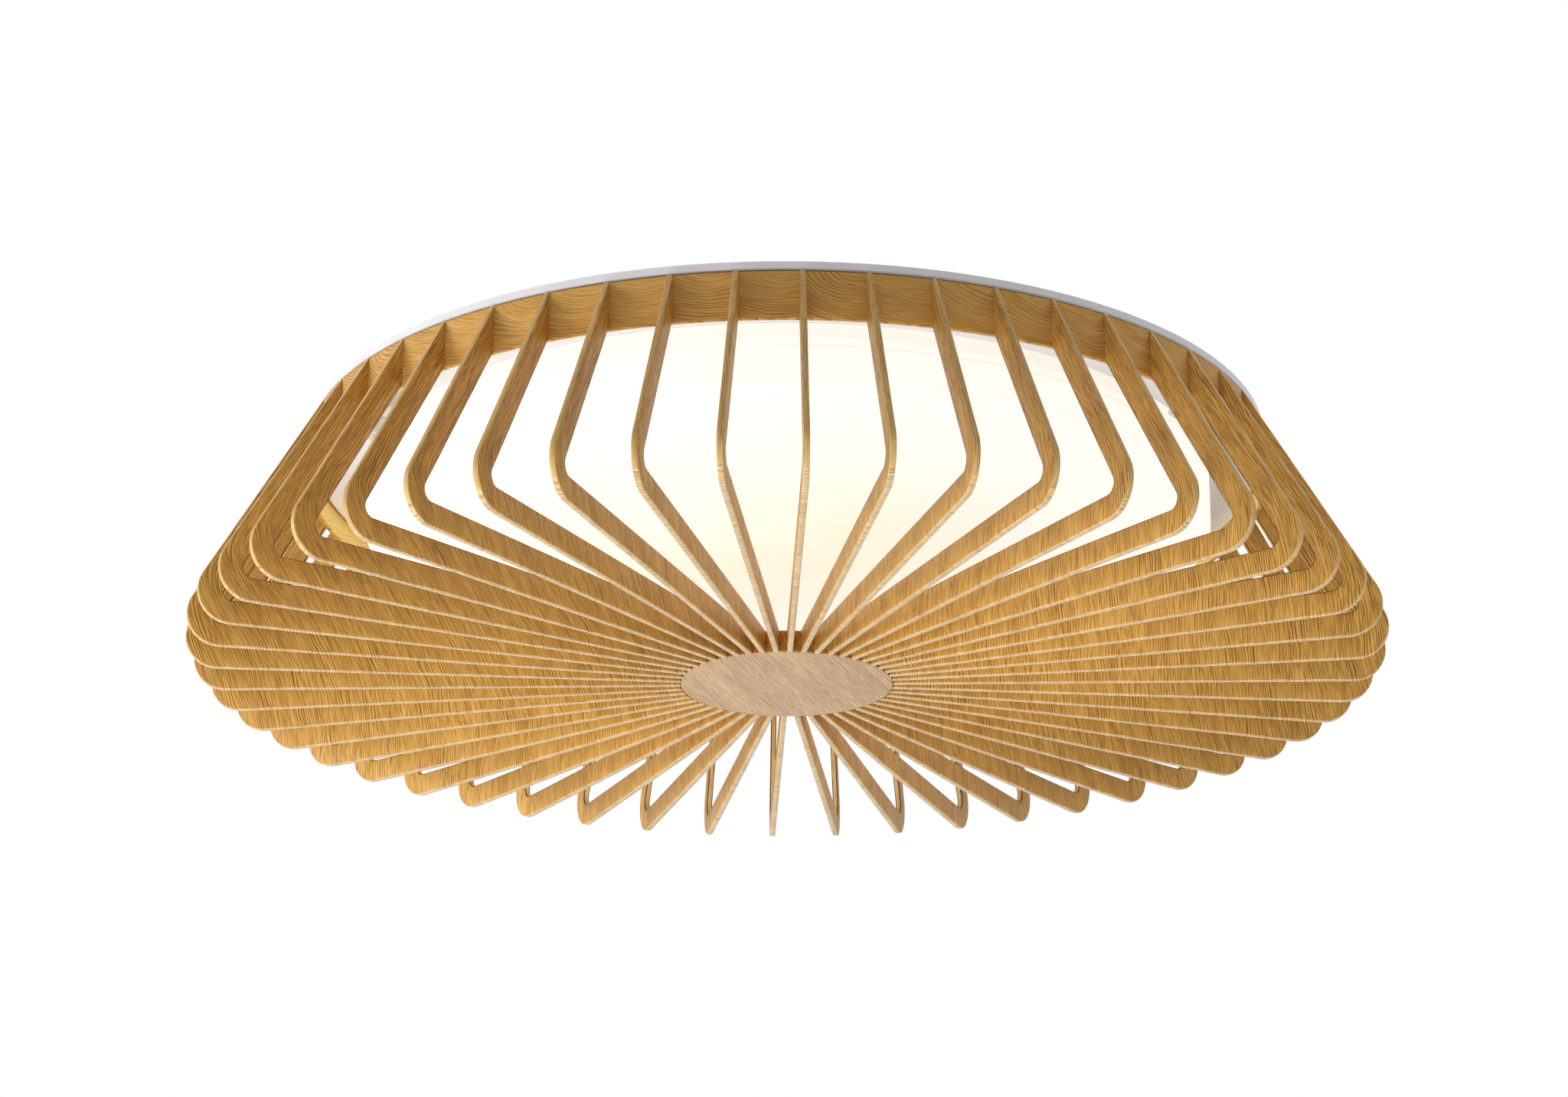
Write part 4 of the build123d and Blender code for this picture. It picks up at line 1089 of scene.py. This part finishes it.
# %% Dress the frame
finishes = {
    "hub_disc": "oak_disc", "hanger_blocks": "white_wood", "diffuser": "opal",
    "light_board": "board_mask", "light_chips": "phosphor", "driver_board": "green_mask",
    "driver_components": "black_moulding", "terminal_tubes": "brass",
    "cable_grommet": "grommet_rubber", "input_leads": "brown_sleeve",
    "output_leads": "red_sleeve", "earth_lead": "earth_sleeve",
}
for name in (
        "ceiling_pan", "diffuser_collar", "shade_studs", "nut_washers",
        "thumb_nut_1", "thumb_nut_2", "thumb_nut_3"):
    finishes[name] = "white_paint"
for name in ("driver_plate", "driver_tub", "terminal_block", "board_connector"):
    finishes[name] = "white_moulding"
for name, node in nodes.items():
    finish = made[finishes.get(name, "zinc")]
    node.data.materials.clear()
    node.data.materials.append(finish)
print("finished nodes", len(nodes))

# %% [markdown]
# ## Stage and light
#
# The photograph shows the lamp on plain white, in even light. A bright white world would wash out
# the pale pieces. So only the camera sees it white, and as a light it is a grey that is darker
# above, where the ceiling would be.

# %% White world
WORLD_ABOVE, WORLD_BELOW = 0.27, 0.71
WORLD_TINT = (1.0, 0.99, 0.98, 1.0)
RISE_BELOW, RISE_ABOVE = -0.6, 0.4


def white_world(above, below):
    """White to the camera and in reflections. As a light it is weaker, and mostly from below."""
    world = bpy.data.worlds.new("studio")
    world.use_nodes = True
    bpy.context.scene.world = world
    tree = world.node_tree
    tree.nodes.clear()
    path = tree.nodes.new("ShaderNodeLightPath")
    seen = math_node(tree, "MAXIMUM", path.outputs["Is Camera Ray"], path.outputs["Is Glossy Ray"])
    seen = math_node(tree, "MAXIMUM", seen, path.outputs["Is Transmission Ray"])
    direction = tree.nodes.new("ShaderNodeTexCoord").outputs["Generated"]
    rise = height_of(tree, direction)
    strength = remap(tree, rise, RISE_BELOW, RISE_ABOVE, below, above)
    light = add_node(tree, "ShaderNodeBackground", {"Color": WORLD_TINT, "Strength": strength})
    backdrop = add_node(tree, "ShaderNodeBackground", {
        "Color": (1.0, 1.0, 1.0, 1.0), "Strength": 1.0})
    mix = add_node(tree, "ShaderNodeMixShader", {
        0: seen, 1: light.outputs[0], 2: backdrop.outputs[0]})
    output = tree.nodes.new("ShaderNodeOutputWorld")
    tree.links.new(mix.outputs[0], output.inputs[0])


white_world(WORLD_ABOVE, WORLD_BELOW)
print("world strength", WORLD_ABOVE, "above and", WORLD_BELOW, "below")

# %% [markdown]
# The lamp hangs, so its floor lies far below it, out of the photograph, where it only catches a
# faint shadow. Any plane would do; a grid of one square is the simplest.

# %% Floor
FLOOR_HEIGHT = -3.6
FLOOR_HALF_SIZE = 6.0

floor_bm = bmesh.new()
bmesh.ops.create_grid(floor_bm, x_segments=1, y_segments=1, size=FLOOR_HALF_SIZE)
bmesh.ops.translate(floor_bm, verts=floor_bm.verts[:], vec=(0, 0, FLOOR_HEIGHT))
floor_mesh = bpy.data.meshes.new("floor")
floor_bm.to_mesh(floor_mesh)
floor_bm.free()
floor = bpy.data.objects.new("floor", floor_mesh)
bpy.context.scene.collection.objects.link(floor)
floor_mesh.materials.append(plain_finish("floor_paint", srgb(240, 239, 237), 0.8, mottle=0.01))
print("floor at", FLOOR_HEIGHT, "m")

# %% [markdown]
# Three large area lamps shape the light. Small ones or a sun would throw hard shadows of fifty
# fins. One stands below, in front and a little to the left, and lights the undersides. The one at
# the far left brightens the outer edges of the fins and the end of the white rim, and the weak
# one on the right keeps that side from going dull.

# %% Soft lamps
AIM = Vector((0, 0, -0.06))


def soft_lamp(name, place, size, power):
    """A square lamp that faces the ceiling light, with its size in metres and power in watts."""
    data = bpy.data.lights.new(name, "AREA")
    data.size = size
    data.energy = power
    lamp = bpy.data.objects.new(name, data)
    lamp.location = place
    lamp.rotation_euler = (AIM - Vector(place)).to_track_quat("-Z", "Y").to_euler()
    bpy.context.scene.collection.objects.link(lamp)


soft_lamp("low_lamp", (-0.9, -1.1, -2.1), 1.0, 30.0)
soft_lamp("left_lamp", (-2.4, -0.2, -0.3), 1.4, 34.0)
soft_lamp("right_lamp", (2.3, -0.8, -1.0), 1.4, 8.0)
print("lamps", [lamp.name for lamp in bpy.data.lights])
